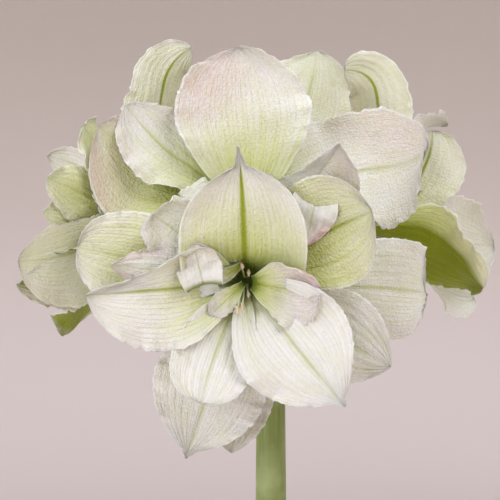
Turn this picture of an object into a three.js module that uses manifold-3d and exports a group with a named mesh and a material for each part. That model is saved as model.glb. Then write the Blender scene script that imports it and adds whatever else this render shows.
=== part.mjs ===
// A potted double amaryllis: one stalk with five blooms, strap leaves and a bulb in a plain glazed pot.
// Millimetres, +Z up. The origin is the centre of the pot's flat bottom, and the front bloom faces -Y.
import * as THREE from "three";
import { mergeVertices } from "three/addons/utils/BufferGeometryUtils.js";
import Module from "manifold-3d";

const wasm = await Module();
wasm.setup();

// Pot
const POT_HEIGHT = 136;
const POT_FOOT_RADIUS = 52;
const POT_TOP_RADIUS = 75;
const POT_WALL = 5;
const POT_FLOOR = 7;
const POT_RIM_HEIGHT = 16;
const POT_RIM_OUT = 3;
const POT_SIDES = 36;

// Potting mix and bulb
const FIT_GAP = 0.4;
const BED_GAP = 0.8;
const MIX_TOP = 118;
const BULB_SIDES = 24;
const BULB_BASE = 64;
const BULB_TOP = 186;
const BULB_CUP_FLOOR = 174;
const BULB_CUP_RADIUS = 17;
// Radius of the bulb at heights above its base plate, from the plate to the neck
const BULB_PROFILE = [
  [20, 0],
  [37, 9],
  [46, 27],
  [46, 46],
  [39, 64],
  [28, 80],
  [22, 94],
  [20.5, 116],
];

// Stalk
const SCAPE_FOOT_RADIUS = 11;
const SCAPE_TOP_RADIUS = 9.3;
const SCAPE_SIDES = 14;
const UMBEL_HEIGHT = 528;
const UMBEL_RADIUS = 11;
const PEDICEL_RADIUS = 4.4;
const PEDICEL_SIDES = 7;
const PEDICEL_STEPS = 7;
const OVARY_RADIUS = 7.5;
const OVARY_SPREAD = 0.13;
const OVARY_GAP = 0.9;

// Blades
const PETAL_THICKNESS = 0.8;
const LEAF_THICKNESS = 1.8;
const SPATHE_THICKNESS = 0.8;
const CURVE_STEPS = 96;

// What a petal has where its own line says nothing. Lengths are in mm and angles in degrees.
// clock is the hour at which it stands, seen from in front of the flower. It leaves the throat at
// the angle lift to the flower's axis and bends over to the angle open, by the share bend of its length.
// cup is the half angle of its hollow, at the claw and over the blade, and left and right add to it.
const PETAL = {
  clock: 0,
  length: 100,
  width: 66,
  lift: 10,
  open: 72,
  bend: 0.6,
  curl: 0,
  swing: 0,
  twist: 0,
  clawCup: 70,
  cup: 15,
  left: 0,
  right: 0,
  point: 0.5,
  widest: 0.6,
  claw: 0.12,
  tail: 0,
  trimLeft: 0,
  trimRight: 0,
  ruffle: 0.05,
  waves: 2.3,
  phase: 0,
  ring: 4,
  start: 0,
  along: 6,
  across: 4,
  crowd: 1.7,
};
const PLAIN = { along: 5 };
const TUCKED = { along: 4, across: 3 };
const SMALL = { along: 5, across: 3, claw: 0.25, ruffle: 0.07, ring: 2, start: 8 };

// The side of a plane that a flower keeps to: a point, the direction away from the neighbour.
const FRONT_UPPER = { at: [-16, -46, 570], to: [0, 0.7, 0.71] };
const FRONT_LEFT = { at: [-60, -64, 590], to: [-0.3, 0.95, 0] };
const FRONT_RIGHT = { at: [60, -62, 590], to: [0.25, 0.97, 0] };
const UPPER_LEFT = { at: [-60, -24, 600], to: [-0.42, 0.91, 0] };
const UPPER_RIGHT = { at: [60, -28, 600], to: [0.3, 0.95, 0] };
const UPPER_BACK = { at: [0, 24, 600], to: [0, 1, 0] };
const LEFT_BACK = { at: [-60, 58, 600], to: [0.5, 0.87, 0] };
const RIGHT_BACK = { at: [75, 70, 600], to: [-0.5, 0.87, 0] };
const TAIL_SHARE = 0.1;
const CLEARANCE = 1.2;
const CLEAR_SOFTNESS = 4;

// Flowers: where the throat is, where it looks, the planes that it keeps to, and its petals.
const FRONT = {
  name: "bloom_front",
  at: [-16.5, -62, 551],
  axis: [-0.03, -0.99, -0.04],
  before: [FRONT_UPPER, FRONT_LEFT, FRONT_RIGHT],
  behind: [],
  petals: [
    { clock: 12, length: 104, width: 91, lift: 4, open: 78, cup: 42, point: 0.62, widest: 0.4, tail: 0.13,
      curl: -30, ruffle: 0.02, ring: 9, swing: -5 },
    { clock: 1.87, length: 101, width: 72, lift: 18, open: 78, cup: 8, point: 0.59, ruffle: 0.03, ring: 8,
      swing: 12, widest: 0.71, bend: 0.6 },
    { clock: 4.66, length: 116, width: 73, lift: 12, open: 76, clawCup: 80, cup: 5, point: 0.8,
      widest: 0.56, ruffle: 0.04, ring: 6, bend: 0.62, tail: 0.03 },
    { clock: 6.8, length: 95, width: 52, lift: 8, open: 68, cup: 10, point: 0.34, widest: 0.68,
      ruffle: 0.04, ring: 6, bend: 0.55, swing: -10 },
    { clock: 8.88, length: 112, width: 82, lift: 14, open: 76, cup: 10, point: 0.6, widest: 0.6, ring: 7,
      right: 85, trimRight: 0.7, trimLeft: 0.1 },
    { clock: 1.17, length: 112, width: 78, lift: 40, open: 84, point: 0.75, widest: 0.43, ring: 7,
      bend: 0.7, right: 0, cup: -10, swing: -4, left: 60, curl: -30 },
    { clock: 3.06, length: 136, width: 65, lift: 30, open: 106, cup: -16, curl: 57, ring: 7, bend: 0.4,
      swing: 8, point: 0.42, widest: 0.73 },
    { clock: 4, length: 106, width: 58, lift: 34, open: 84, cup: 5, point: 0.8, widest: 0.62, ring: 7,
      bend: 0.45 },
    { clock: 6.62, length: 117, width: 72, lift: 34, open: 86, cup: 5, point: 0.85, ring: 7, bend: 0.4,
      tail: 0.03 },
    { clock: 6.15, length: 106, width: 48, lift: 38, open: 92, cup: 5, point: 0.8, ring: 8, bend: 0.35 },
    { clock: 9.4, length: 108, width: 60, lift: 34, open: 84, cup: 10, point: 0.4, widest: 0.62, ring: 7,
      bend: 0.45 },
    { ...SMALL, clock: 10.25, length: 78, width: 42, lift: 28, open: 80, clawCup: 60, cup: -20, point: 0.4,
      widest: 0.7, curl: -40, ring: 6, along: 7 },
    { ...SMALL, clock: 9.28, length: 88, width: 34, lift: 30, open: 78, clawCup: 60, cup: -50, point: 0.9,
      widest: 0.55, start: 10, ring: 6, along: 7 },
    { ...SMALL, clock: 9.4, length: 44, width: 30, lift: 24, open: 66, clawCup: 50, cup: -60, point: 0.3,
      widest: 0.72, ruffle: 0.1, start: 30, curl: 60, claw: 0.16, bend: 0.5 },
    { ...SMALL, clock: 3.2, length: 53, width: 48, lift: 24, open: 66, clawCup: 50, cup: -10, point: 0.42,
      widest: 0.7, left: 110, start: 22, claw: 0.2, bend: 0.5, ring: 5, across: 6 },
    { ...SMALL, clock: 7.55, length: 34, width: 15, lift: 24, open: 66, clawCup: 60, cup: 20, widest: 0.7,
      ruffle: 0.1, start: 20, claw: 0.3, along: 5 },
  ],
};

const UPPER = {
  name: "bloom_upper",
  at: [-14, -26, 584.5],
  axis: [0, -0.82, 0.57],
  before: [UPPER_LEFT, UPPER_RIGHT, UPPER_BACK],
  behind: [FRONT_UPPER],
  petals: [
    { clock: 11.81, length: 127, width: 90, cup: 18, point: 0.72, widest: 0.6, lift: 11, open: 77,
      bend: 0.68, swing: 3, clawCup: 30 },
    { clock: 2.24, length: 140, width: 97, open: 92, cup: -6, point: 0.42, widest: 0.64, lift: 6,
      bend: 0.41, curl: -59, swing: 27 },
    { clock: 9.92, length: 108, width: 56, open: 72, cup: 0, lift: 40, bend: 0.36, swing: 24, point: 0.7,
      widest: 0.64, clawCup: 60, start: 12 },
    { clock: 10.42, length: 93, lift: 40, open: 80, cup: 5, bend: 0.38, ring: 5, width: 42, swing: 2,
      point: 0.5, widest: 0.6, start: 10 },
    { clock: 9.83, length: 125, width: 95, lift: 50, open: 84, cup: -20, point: 0.75, bend: 0.53, ring: 5,
      curl: -14, swing: 5, widest: 0.55 },
    { ...TUCKED, clock: 4.4, length: 76, width: 52, open: 58, cup: 20 },
    { ...TUCKED, clock: 6.3, length: 64, width: 48, open: 40, cup: 20 },
    { ...TUCKED, clock: 7.9, length: 72, width: 50, open: 54, cup: 20 },
    { ...SMALL, clock: 1, length: 48, width: 26, lift: 20, open: 50, start: 14 },
    { ...SMALL, clock: 10.6, length: 44, width: 24, lift: 20, open: 50, start: 16 },
  ],
};

const LEFT = {
  name: "bloom_left",
  at: [-66.5, 0, 582],
  axis: [-0.96, 0, 0.16],
  before: [LEFT_BACK],
  behind: [FRONT_LEFT, UPPER_LEFT],
  petals: [
    { clock: 11.7, length: 135, width: 59, lift: 38, open: 91, clawCup: 50, cup: 24, point: 0.6,
      bend: 0.43, curl: 48, twist: 93, swing: 26, widest: 0.44 },
    { clock: 0.92, length: 94, lift: 25, open: 53, cup: 4, bend: 0.67, ring: 3, width: 76, point: 0.38,
      widest: 0.52 },
    { clock: 2.42, length: 104, width: 47, lift: 20, open: 49, cup: 43, bend: 0.54, curl: -3, swing: -1,
      point: 0.7, widest: 0.58 },
    { clock: 3.86, length: 117, width: 73, open: 54, cup: -60, bend: 0.72, lift: 27, curl: -26, swing: -1,
      point: 0.53, widest: 0.69, twist: -2 },
    { clock: 6.52, length: 106, width: 71, lift: 24, open: 66, ring: 6, point: 0.64, widest: 0.59,
      bend: 0.6, twist: -30, curl: -12, swing: 8, cup: 17 },
    { ...PLAIN, clock: 7.9, length: 100, width: 60, lift: 8, open: 60, bend: 0.72, ring: 3 },
    { ...PLAIN, clock: 10.14, length: 123, width: 47, lift: 35, open: 42, ring: 6, bend: 0.61, curl: -37,
      swing: -11, cup: 60, point: 0.56, widest: 0.51 },
    { ...SMALL, clock: 11, length: 60, width: 30, lift: 20, open: 40, start: 12 },
    { ...SMALL, clock: 2.92, length: 93, width: 44, lift: 16, open: 46, start: 6, bend: 0.38, curl: -39,
      swing: 12, cup: 17, point: 0.71, widest: 0.5, ring: 4 },
  ],
};

const RIGHT = {
  name: "bloom_right",
  at: [54, 14, 585],
  axis: [0.94, 0.3, 0],
  before: [RIGHT_BACK],
  behind: [FRONT_RIGHT, UPPER_RIGHT],
  petals: [
    { clock: 11.8, length: 132, width: 46, lift: 21, open: 99, clawCup: 50, cup: 27, widest: 0.64,
      bend: 0.42, curl: 81, twist: -87, point: 0.47, swing: 10 },
    { ...PLAIN, clock: 0.55, length: 116, width: 62, lift: 35, open: 56, bend: 0.61, curl: -60, swing: 2,
      cup: -47, point: 0.67, widest: 0.49 },
    { ...PLAIN, clock: 3.75, length: 129, open: 27, bend: 0.68, width: 70, lift: 0, curl: -33, swing: -8,
      cup: 60, point: 0.57, widest: 0.67 },
    { clock: 4.76, length: 127, open: 54, bend: 0.78, width: 56, lift: 26, curl: -54, swing: -12, cup: 5,
      point: 0.54, widest: 0.74 },
    { clock: 7.7, length: 103, width: 63, lift: 1, open: 51, point: 0.55, widest: 0.52, bend: 0.65,
      curl: 14, swing: -4, cup: 26, twist: -10 },
    { clock: 11.77, length: 98, width: 59, lift: 7, open: 64, bend: 0.74, curl: 23, swing: 18, cup: 49,
      point: 0.39, widest: 0.61, twist: -76 },
    { ...SMALL, clock: 0.4, length: 60, width: 30, lift: 20, open: 40, start: 12 },
    { ...SMALL, clock: 4, length: 48, width: 28, lift: 20, open: 36, start: 14 },
  ],
};

const BACK = {
  name: "bloom_back",
  at: [-1.3, 55, 594.7],
  axis: [0.05, 0.93, 0.3],
  before: [],
  behind: [UPPER_BACK, LEFT_BACK, RIGHT_BACK],
  petals: [
    { clock: 11.16, length: 149, width: 84, open: 63, clawCup: 80, bend: 0.54, lift: 4, curl: -12,
      swing: 15, cup: 8, point: 0.69, widest: 0.64 },
    { ...PLAIN, clock: 1.3, length: 108, width: 60, lift: 30, open: 80, ring: 6 },
    { ...PLAIN, clock: 3.3, length: 100, width: 62, lift: 8, open: 66, bend: 0.72, ring: 3 },
    { ...PLAIN, clock: 5.3, length: 108, width: 60, lift: 30, open: 80, ring: 6 },
    { ...PLAIN, clock: 7.3, length: 100, width: 62, lift: 8, open: 66, bend: 0.72, ring: 3 },
    { ...PLAIN, clock: 9.3, length: 108, width: 60, lift: 30, open: 80, ring: 6 },
    { ...SMALL, clock: 2.2, length: 60, width: 32, lift: 20, open: 50, start: 12 },
    { ...SMALL, clock: 7, length: 54, width: 30, lift: 20, open: 46, start: 14 },
  ],
};

const FLOWERS = [FRONT, UPPER, LEFT, RIGHT, BACK];

// The curve of each flower's stalklet leaves the top of the stalk towards this point.
const PEDICEL_BEND = {
  bloom_front: [-3, -6, 552],
  bloom_upper: [-6, 8, 552],
  bloom_left: [-5, 1, 556],
  bloom_right: [4, 2, 560],
  bloom_back: [0, 6, 556],
};
const PEDICEL_REACH = 34;

// Strap leaves: they stand round the stalk in the bulb's neck and arch out over the pot.
const LEAF = {
  ...PETAL,
  clawCup: 44,
  cup: 24,
  claw: 0.42,
  point: 0.75,
  widest: 0.45,
  ruffle: 0.008,
  waves: 1.2,
  ring: 13.2,
  bend: 0.95,
  crowd: 1.15,
  along: 10,
  across: 4,
};
const LEAVES = [
  { ...LEAF, clock: 0.6, length: 236, width: 42, lift: 6, open: 88, curl: 20, swing: 6 },
  { ...LEAF, clock: 3.8, length: 262, width: 44, lift: 4, open: 96, curl: 26, swing: -8 },
  { ...LEAF, clock: 6.8, length: 208, width: 38, lift: 5, open: 82, curl: 14, swing: 8 },
  { ...LEAF, clock: 9.7, length: 250, width: 43, lift: 5, open: 92, curl: 24, swing: -6 },
];
const LEAF_FOOT = BULB_CUP_FLOOR + FIT_GAP;

// Withered spathe: two papery bracts that hang from under the top of the stalk.
const SPATHE = {
  ...PETAL,
  length: 54,
  width: 24,
  lift: 16,
  open: 34,
  clawCup: 40,
  cup: 60,
  claw: 0.5,
  point: 1.1,
  widest: 0.4,
  ruffle: 0.02,
  ring: 10.3,
  along: 6,
  across: 3,
};
const SPATHES = [
  { ...SPATHE, clock: 2.6 },
  { ...SPATHE, clock: 8.8, length: 46, open: 28 },
];
const SPATHE_TOP = 516;

const V = (a) => new THREE.Vector3(...a);
const radians = THREE.MathUtils.degToRad;
const smooth = (from, to, x) => THREE.MathUtils.smoothstep(x, from, to);

// The axis of a flower with its up and side directions.
function frameOf(axis, up = [0, 0, 1]) {
  const forward = V(axis).normalize();
  const upward = V(up);
  upward.addScaledVector(forward, -upward.dot(forward)).normalize();
  const side = new THREE.Vector3().crossVectors(upward, forward);
  return { forward, upward, side };
}

// Half the width of a petal at the share u of its length, on the side that v tells by its sign.
// tail is the share of the length that is drawn out to a thin point, and a trim narrows one side.
function halfWidth(petal, u, v) {
  const body = Math.min(u / (1 - petal.tail), 1);
  let grow = petal.claw + (1 - petal.claw) * smooth(0, petal.widest, body);
  if (body > petal.widest) {
    const q = (body - petal.widest) / (1 - petal.widest);
    grow *= Math.max(1 - q ** 2.2, 0) ** petal.point;
  }
  grow *= 1 - (v < 0 ? petal.trimLeft : petal.trimRight) * smooth(0.3, 0.85, u);
  if (petal.tail > 0 && u > petal.widest)
    grow = Math.max(grow, TAIL_SHARE * Math.min((1 - u) / petal.tail, 1));
  return (petal.width / 2) * Math.max(grow, 0.025);
}

// How far the edge waves out of the blade at the share u of the length and v of the half width.
function wave(petal, u, v) {
  const side = v < 0 ? 0.37 : 0;
  const slow = Math.sin(2 * Math.PI * (petal.waves * u + petal.phase + side));
  const quick = Math.sin(2 * Math.PI * (petal.waves * 2.3 * u + 1.7 * petal.phase + 2 * side));
  const window = smooth(0.25, 0.55, u) * (1 - 0.6 * smooth(0.9, 1, u));
  return petal.ruffle * petal.width * Math.abs(v) ** 2.5 * (slow + 0.45 * quick) * window;
}

// Where along a petal its rows of points lie: closer together towards the tip, which is the rounder end.
const rowShare = (petal, i) => 1 - (1 - i / petal.along) ** petal.crowd;

// The middle surface of a petal: rows of points from its claw to its tip.
function surfaceOf(frame, origin, petal) {
  const { forward, upward, side } = frame;
  const clock = radians(petal.clock * 30);
  const centre = V(origin).addScaledVector(forward, petal.start);
  centre.addScaledVector(upward, petal.ring * Math.cos(clock));
  centre.addScaledVector(side, petal.ring * Math.sin(clock));
  const rows = [];
  for (let step = 0; step <= CURVE_STEPS; step += 1) {
    const u = step / CURVE_STEPS;
    const opening = petal.lift + (petal.open - petal.lift) * smooth(0, petal.bend, u);
    const angle = radians(opening + petal.curl * smooth(0.72, 1, u));
    const turned = clock + radians(petal.swing) * u * u;
    const radial = upward.clone().multiplyScalar(Math.cos(turned)).addScaledVector(side, Math.sin(turned));
    const across = side.clone().multiplyScalar(Math.cos(turned)).addScaledVector(upward, -Math.sin(turned));
    const along = forward.clone().multiplyScalar(Math.cos(angle)).addScaledVector(radial, Math.sin(angle));
    const inner = new THREE.Vector3().crossVectors(across, along);
    if (rows.length <= petal.along && u > rowShare(petal, rows.length) - 0.5 / CURVE_STEPS) {
      const twist = radians(petal.twist) * u * u;
      const wide = across.clone().multiplyScalar(Math.cos(twist)).addScaledVector(inner, Math.sin(twist));
      const deep = inner.clone().multiplyScalar(Math.cos(twist)).addScaledVector(across, -Math.sin(twist));
      rows.push(rowOf(petal, u, centre, wide, deep));
    }
    centre.addScaledVector(along, petal.length / CURVE_STEPS);
  }
  return rows;
}

// One row of points across a petal, bent to its hollow and waved at its edges.
function rowOf(petal, u, centre, wide, deep) {
  const hollow = petal.clawCup + (petal.cup - petal.clawCup) * smooth(0.1, 0.7, u);
  const row = [];
  for (let j = 0; j <= petal.across; j += 1) {
    const v = (2 * j) / petal.across - 1;
    const half = halfWidth(petal, u, v);
    const extra = (v < 0 ? petal.left : petal.right) * smooth(0.25, 0.7, u);
    const arc = radians(hollow + extra);
    const flat = Math.abs(arc) < 1e-4;
    const x = flat ? half * v : (half * Math.sin(arc * v)) / arc;
    const z = flat ? 0 : (half * (1 - Math.cos(arc * v))) / arc;
    const rise = z + wave(petal, u, v);
    row.push(centre.clone().addScaledVector(wide, x).addScaledVector(deep, rise));
  }
  return row;
}

// Bends points smoothly to one side of a plane, so that neighbouring flowers keep clear of each other.
function keepSide(rows, plane, sign) {
  const normal = V(plane.to).normalize().multiplyScalar(sign);
  const at = V(plane.at);
  for (const row of rows)
    for (const p of row) {
      const distance = p.clone().sub(at).dot(normal);
      if (distance > 40) continue;
      const bent = CLEARANCE + CLEAR_SOFTNESS * Math.log1p(Math.exp((distance - CLEARANCE) / CLEAR_SOFTNESS));
      p.addScaledVector(normal, bent - distance);
    }
}

// A closed blade of even thickness round a grid of points, its two faces split into triangles alike.
function bladeOf(rows, thickness) {
  const n = rows.length;
  const m = rows[0].length;
  const at = (i, j) => rows[Math.min(Math.max(i, 0), n - 1)][Math.min(Math.max(j, 0), m - 1)];
  const points = [];
  for (const sign of [1, -1])
    for (let i = 0; i < n; i += 1)
      for (let j = 0; j < m; j += 1) {
        const down = at(i + 1, j).clone().sub(at(i - 1, j));
        const over = at(i, j + 1).clone().sub(at(i, j - 1));
        const normal = new THREE.Vector3().crossVectors(over, down).normalize();
        points.push(at(i, j).clone().addScaledVector(normal, (sign * thickness) / 2));
      }
  const faces = [];
  const inner = (i, j) => i * m + j;
  const outer = (i, j) => n * m + i * m + j;
  for (let i = 0; i < n - 1; i += 1)
    for (let j = 0; j < m - 1; j += 1) {
      faces.push([inner(i, j), inner(i, j + 1), inner(i + 1, j + 1)]);
      faces.push([inner(i, j), inner(i + 1, j + 1), inner(i + 1, j)]);
      faces.push([outer(i, j), outer(i + 1, j + 1), outer(i, j + 1)]);
      faces.push([outer(i, j), outer(i + 1, j), outer(i + 1, j + 1)]);
    }
  const rim = [];
  for (let j = 0; j < m - 1; j += 1) rim.push([0, j]);
  for (let i = 0; i < n - 1; i += 1) rim.push([i, m - 1]);
  for (let j = m - 1; j > 0; j -= 1) rim.push([n - 1, j]);
  for (let i = n - 1; i > 0; i -= 1) rim.push([i, 0]);
  rim.forEach(([i, j], k) => {
    const [p, q] = rim[(k + 1) % rim.length];
    faces.push([inner(i, j), outer(i, j), outer(p, q)]);
    faces.push([inner(i, j), outer(p, q), inner(p, q)]);
  });
  return { points, faces };
}

// A closed tube of the given rings, each a centre, two directions and a radius.
function tubeOf(rings, sides) {
  const points = [];
  const faces = [];
  for (const ring of rings)
    for (let k = 0; k < sides; k += 1) {
      const turn = (2 * Math.PI * k) / sides;
      const p = ring.centre.clone().addScaledVector(ring.u, ring.radius * Math.cos(turn));
      points.push(p.addScaledVector(ring.v, ring.radius * Math.sin(turn)));
    }
  for (let i = 0; i < rings.length - 1; i += 1)
    for (let k = 0; k < sides; k += 1) {
      const next = (k + 1) % sides;
      faces.push([i * sides + k, i * sides + next, (i + 1) * sides + next]);
      faces.push([i * sides + k, (i + 1) * sides + next, (i + 1) * sides + k]);
    }
  const first = points.length;
  points.push(rings[0].centre.clone(), rings.at(-1).centre.clone());
  const last = (rings.length - 1) * sides;
  for (let k = 0; k < sides; k += 1) {
    const next = (k + 1) % sides;
    faces.push([first, next, k]);
    faces.push([first + 1, last + k, last + next]);
  }
  return { points, faces };
}

// A tube along a curve, its radius a function of the share of the curve.
function tubeAlong(curve, radius, steps, sides) {
  const frames = curve.computeFrenetFrames(steps, false);
  const rings = [];
  for (let i = 0; i <= steps; i += 1) {
    rings.push({
      centre: curve.getPointAt(i / steps),
      u: frames.normals[i],
      v: frames.binormals[i],
      radius: radius(i / steps),
    });
  }
  return tubeOf(rings, sides);
}

// A round post on a straight axis, given as pairs of distance along the axis and radius.
function postOf(origin, axis, profile, sides) {
  const { forward, upward, side } = frameOf(axis, Math.abs(axis[2]) > 0.9 ? [0, 1, 0] : [0, 0, 1]);
  const rings = profile.map(([along, radius]) => ({
    centre: V(origin).addScaledVector(forward, along),
    u: side,
    v: upward,
    radius,
  }));
  return tubeOf(rings, sides);
}

function solidOf({ points, faces }) {
  const vertProperties = new Float32Array(points.flatMap((p) => [p.x, p.y, p.z]));
  const solid = new wasm.Manifold(
    new wasm.Mesh({ numProp: 3, vertProperties, triVerts: new Uint32Array(faces.flat()) }),
  );
  if (solid.volume() > 0) return solid;
  const turned = faces.map(([a, b, c]) => [a, c, b]);
  return new wasm.Manifold(
    new wasm.Mesh({ numProp: 3, vertProperties, triVerts: new Uint32Array(turned.flat()) }),
  );
}

// Joins solids into one body. A pocket that joining seals is filled, and a loose scrap is dropped.
function fused(solids) {
  const joined = solids.reduce((a, b) => a.add(b));
  const bodies = joined.decompose();
  return bodies.reduce((a, b) => (b.volume() > a.volume() ? b : a));
}

function geometryOfSolid(solid) {
  const mesh = solid.getMesh();
  const positions = new Float32Array((mesh.vertProperties.length / mesh.numProp) * 3);
  for (let i = 0; i < positions.length / 3; i += 1)
    for (let k = 0; k < 3; k += 1) positions[3 * i + k] = mesh.vertProperties[i * mesh.numProp + k];
  const geometry = new THREE.BufferGeometry();
  geometry.setAttribute("position", new THREE.BufferAttribute(positions, 3));
  geometry.setIndex(new THREE.BufferAttribute(new Uint32Array(mesh.triVerts), 1));
  geometry.computeVertexNormals();
  return geometry;
}

// A turned body from a profile of radius and height pairs, bottom to top, closed on the axis.
function turned(profile, sides) {
  const geometry = new THREE.LatheGeometry(
    profile.map(([r, z]) => new THREE.Vector2(r, z)),
    sides,
  );
  geometry.rotateX(Math.PI / 2);
  geometry.deleteAttribute("uv");
  geometry.deleteAttribute("normal");
  const merged = mergeVertices(geometry, 1e-4);
  merged.computeVertexNormals();
  return merged;
}

function petalSolid(flower, petal) {
  const whole = { ...PETAL, ...petal };
  const rows = surfaceOf(frameOf(flower.axis), flower.at, whole);
  for (const plane of flower.before) keepSide(rows, plane, -1);
  for (const plane of flower.behind) keepSide(rows, plane, 1);
  return solidOf(bladeOf(rows, PETAL_THICKNESS));
}

// The solid throat where the claws meet, with the bundle of filaments standing in it.
const THROAT_PROFILE = [
  [0, 9],
  [10, 13],
  [22, 13],
  [26, 3],
  [36, 2.4],
  [38, 1.2],
];

function bloomGeometry(flower) {
  const throat = solidOf(postOf(flower.at, flower.axis, THROAT_PROFILE, 8));
  const petals = flower.petals.map((petal) => petalSolid(flower, petal));
  return geometryOfSolid(fused([throat, ...petals]));
}

// The stalk: the scape, the knob at its top, and a stalklet with an ovary for each flower.
function stalkGeometry() {
  const foot = BULB_CUP_FLOOR + FIT_GAP;
  const scape = solidOf(
    postOf(
      [0, 0, 0],
      [0, 0, 1],
      [
        [foot, SCAPE_FOOT_RADIUS],
        [300, 10.6],
        [420, 10.1],
        [500, SCAPE_TOP_RADIUS],
        [UMBEL_HEIGHT - 8, SCAPE_TOP_RADIUS],
        [UMBEL_HEIGHT, UMBEL_RADIUS],
        [UMBEL_HEIGHT + 6, 8],
      ],
      SCAPE_SIDES,
    ),
  );
  const stalklets = FLOWERS.map((flower) => {
    const { forward } = frameOf(flower.axis);
    const end = V(flower.at).addScaledVector(forward, -OVARY_GAP);
    const reach = V(flower.at).addScaledVector(forward, -PEDICEL_REACH);
    const curve = new THREE.CubicBezierCurve3(
      new THREE.Vector3(0, 0, UMBEL_HEIGHT - 2),
      V(PEDICEL_BEND[flower.name]),
      reach,
      end,
    );
    const radius = (t) => {
      const swell = Math.exp(-(((t - 0.86) / OVARY_SPREAD) ** 2));
      return PEDICEL_RADIUS + (OVARY_RADIUS - PEDICEL_RADIUS) * swell;
    };
    return solidOf(tubeAlong(curve, radius, PEDICEL_STEPS, PEDICEL_SIDES));
  });
  return geometryOfSolid(fused([scape, ...stalklets]));
}

function bulbRadius(height) {
  const profile = BULB_PROFILE;
  for (let i = 1; i < profile.length; i += 1) {
    const [r0, z0] = profile[i - 1];
    const [r1, z1] = profile[i];
    if (height <= z1) return r0 + ((r1 - r0) * (height - z0)) / (z1 - z0);
  }
  return profile.at(-1)[0];
}

function bulbGeometry() {
  const outside = BULB_PROFILE.map(([r, z]) => [r, BULB_BASE + z]);
  const cup = [
    [BULB_PROFILE.at(-1)[0] - 1, BULB_TOP],
    [BULB_CUP_RADIUS, BULB_TOP],
    [BULB_CUP_RADIUS, BULB_CUP_FLOOR],
    [0, BULB_CUP_FLOOR],
  ];
  return turned([[0, BULB_BASE], ...outside, ...cup], BULB_SIDES);
}

function potRadius(height) {
  return POT_FOOT_RADIUS + ((POT_TOP_RADIUS - POT_FOOT_RADIUS) * height) / POT_HEIGHT;
}

function potGeometry() {
  const rimBase = POT_HEIGHT - POT_RIM_HEIGHT;
  return turned(
    [
      [0, 0],
      [POT_FOOT_RADIUS - 1.5, 0],
      [POT_FOOT_RADIUS, 1.5],
      [potRadius(rimBase), rimBase],
      [potRadius(rimBase) + POT_RIM_OUT, rimBase + 1.5],
      [POT_TOP_RADIUS + POT_RIM_OUT, POT_HEIGHT - 1.5],
      [POT_TOP_RADIUS + POT_RIM_OUT - 1.5, POT_HEIGHT],
      [POT_TOP_RADIUS - POT_WALL + 1, POT_HEIGHT],
      [POT_TOP_RADIUS - POT_WALL, POT_HEIGHT - 1],
      [potRadius(POT_FLOOR) - POT_WALL, POT_FLOOR],
      [0, POT_FLOOR],
    ],
    POT_SIDES,
  );
}

// The potting mix fills the pot to below its rim and holds the lower half of the bulb.
function mixGeometry() {
  const bed = BULB_PROFILE.filter(([, z]) => BULB_BASE + z < MIX_TOP - 2).map(([r, z]) => [
    r + BED_GAP,
    BULB_BASE + z - (z === 0 ? BED_GAP : 0),
  ]);
  const collar = bulbRadius(MIX_TOP - BULB_BASE) + BED_GAP;
  const wall = (z) => potRadius(z) - POT_WALL - FIT_GAP;
  return turned(
    [
      [0, POT_FLOOR + FIT_GAP],
      [wall(POT_FLOOR) - 1, POT_FLOOR + FIT_GAP],
      [wall(MIX_TOP - 4), MIX_TOP - 4],
      [wall(MIX_TOP) - 6, MIX_TOP - 1],
      [collar + 6, MIX_TOP + 1],
      [collar, MIX_TOP],
      ...bed.reverse(),
      [0, BULB_BASE - BED_GAP],
    ],
    POT_SIDES,
  );
}

function leafGeometry(leaf) {
  const rows = surfaceOf(frameOf([0, 0, 1], [0, 1, 0]), [0, 0, LEAF_FOOT], leaf);
  return geometryOfSolid(solidOf(bladeOf(rows, LEAF_THICKNESS)));
}

function spatheGeometry(bract) {
  const rows = surfaceOf(frameOf([0, 0, -1], [0, 1, 0]), [0, 0, SPATHE_TOP], bract);
  return geometryOfSolid(solidOf(bladeOf(rows, SPATHE_THICKNESS)));
}

const glaze = new THREE.MeshStandardMaterial({ color: "#e7e2d8", roughness: 0.35, metalness: 0 });
const mixMaterial = new THREE.MeshStandardMaterial({ color: "#3b2a1e", roughness: 0.95, metalness: 0 });
const tunic = new THREE.MeshStandardMaterial({ color: "#8a5b34", roughness: 0.7, metalness: 0 });
const stalkGreen = new THREE.MeshStandardMaterial({ color: "#8b9b57", roughness: 0.5, metalness: 0 });
const leafGreen = new THREE.MeshStandardMaterial({ color: "#4d7a32", roughness: 0.45, metalness: 0 });
const dryBract = new THREE.MeshStandardMaterial({ color: "#b79f7a", roughness: 0.8, metalness: 0 });
const petalWhite = new THREE.MeshStandardMaterial({ color: "#eef0da", roughness: 0.55, metalness: 0 });

const plant = new THREE.Group();

function piece(name, geometry, material) {
  const mesh = new THREE.Mesh(geometry, material);
  mesh.name = name;
  plant.add(mesh);
}

piece("pot", potGeometry(), glaze);
piece("potting_mix", mixGeometry(), mixMaterial);
piece("bulb", bulbGeometry(), tunic);
piece("stalk", stalkGeometry(), stalkGreen);
LEAVES.forEach((leaf, i) => piece(`leaf_${i + 1}`, leafGeometry(leaf), leafGreen));
SPATHES.forEach((bract, i) => piece(`spathe_${i + 1}`, spatheGeometry(bract), dryBract));
for (const flower of FLOWERS) piece(flower.name, bloomGeometry(flower), petalWhite);

export default plant;
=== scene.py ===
"""A potted double amaryllis: five blooms on one stalk, strap leaves, a bulb and a plain glazed pot.

Tables are in millimetres and degrees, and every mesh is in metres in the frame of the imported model.
"""
import math

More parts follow.
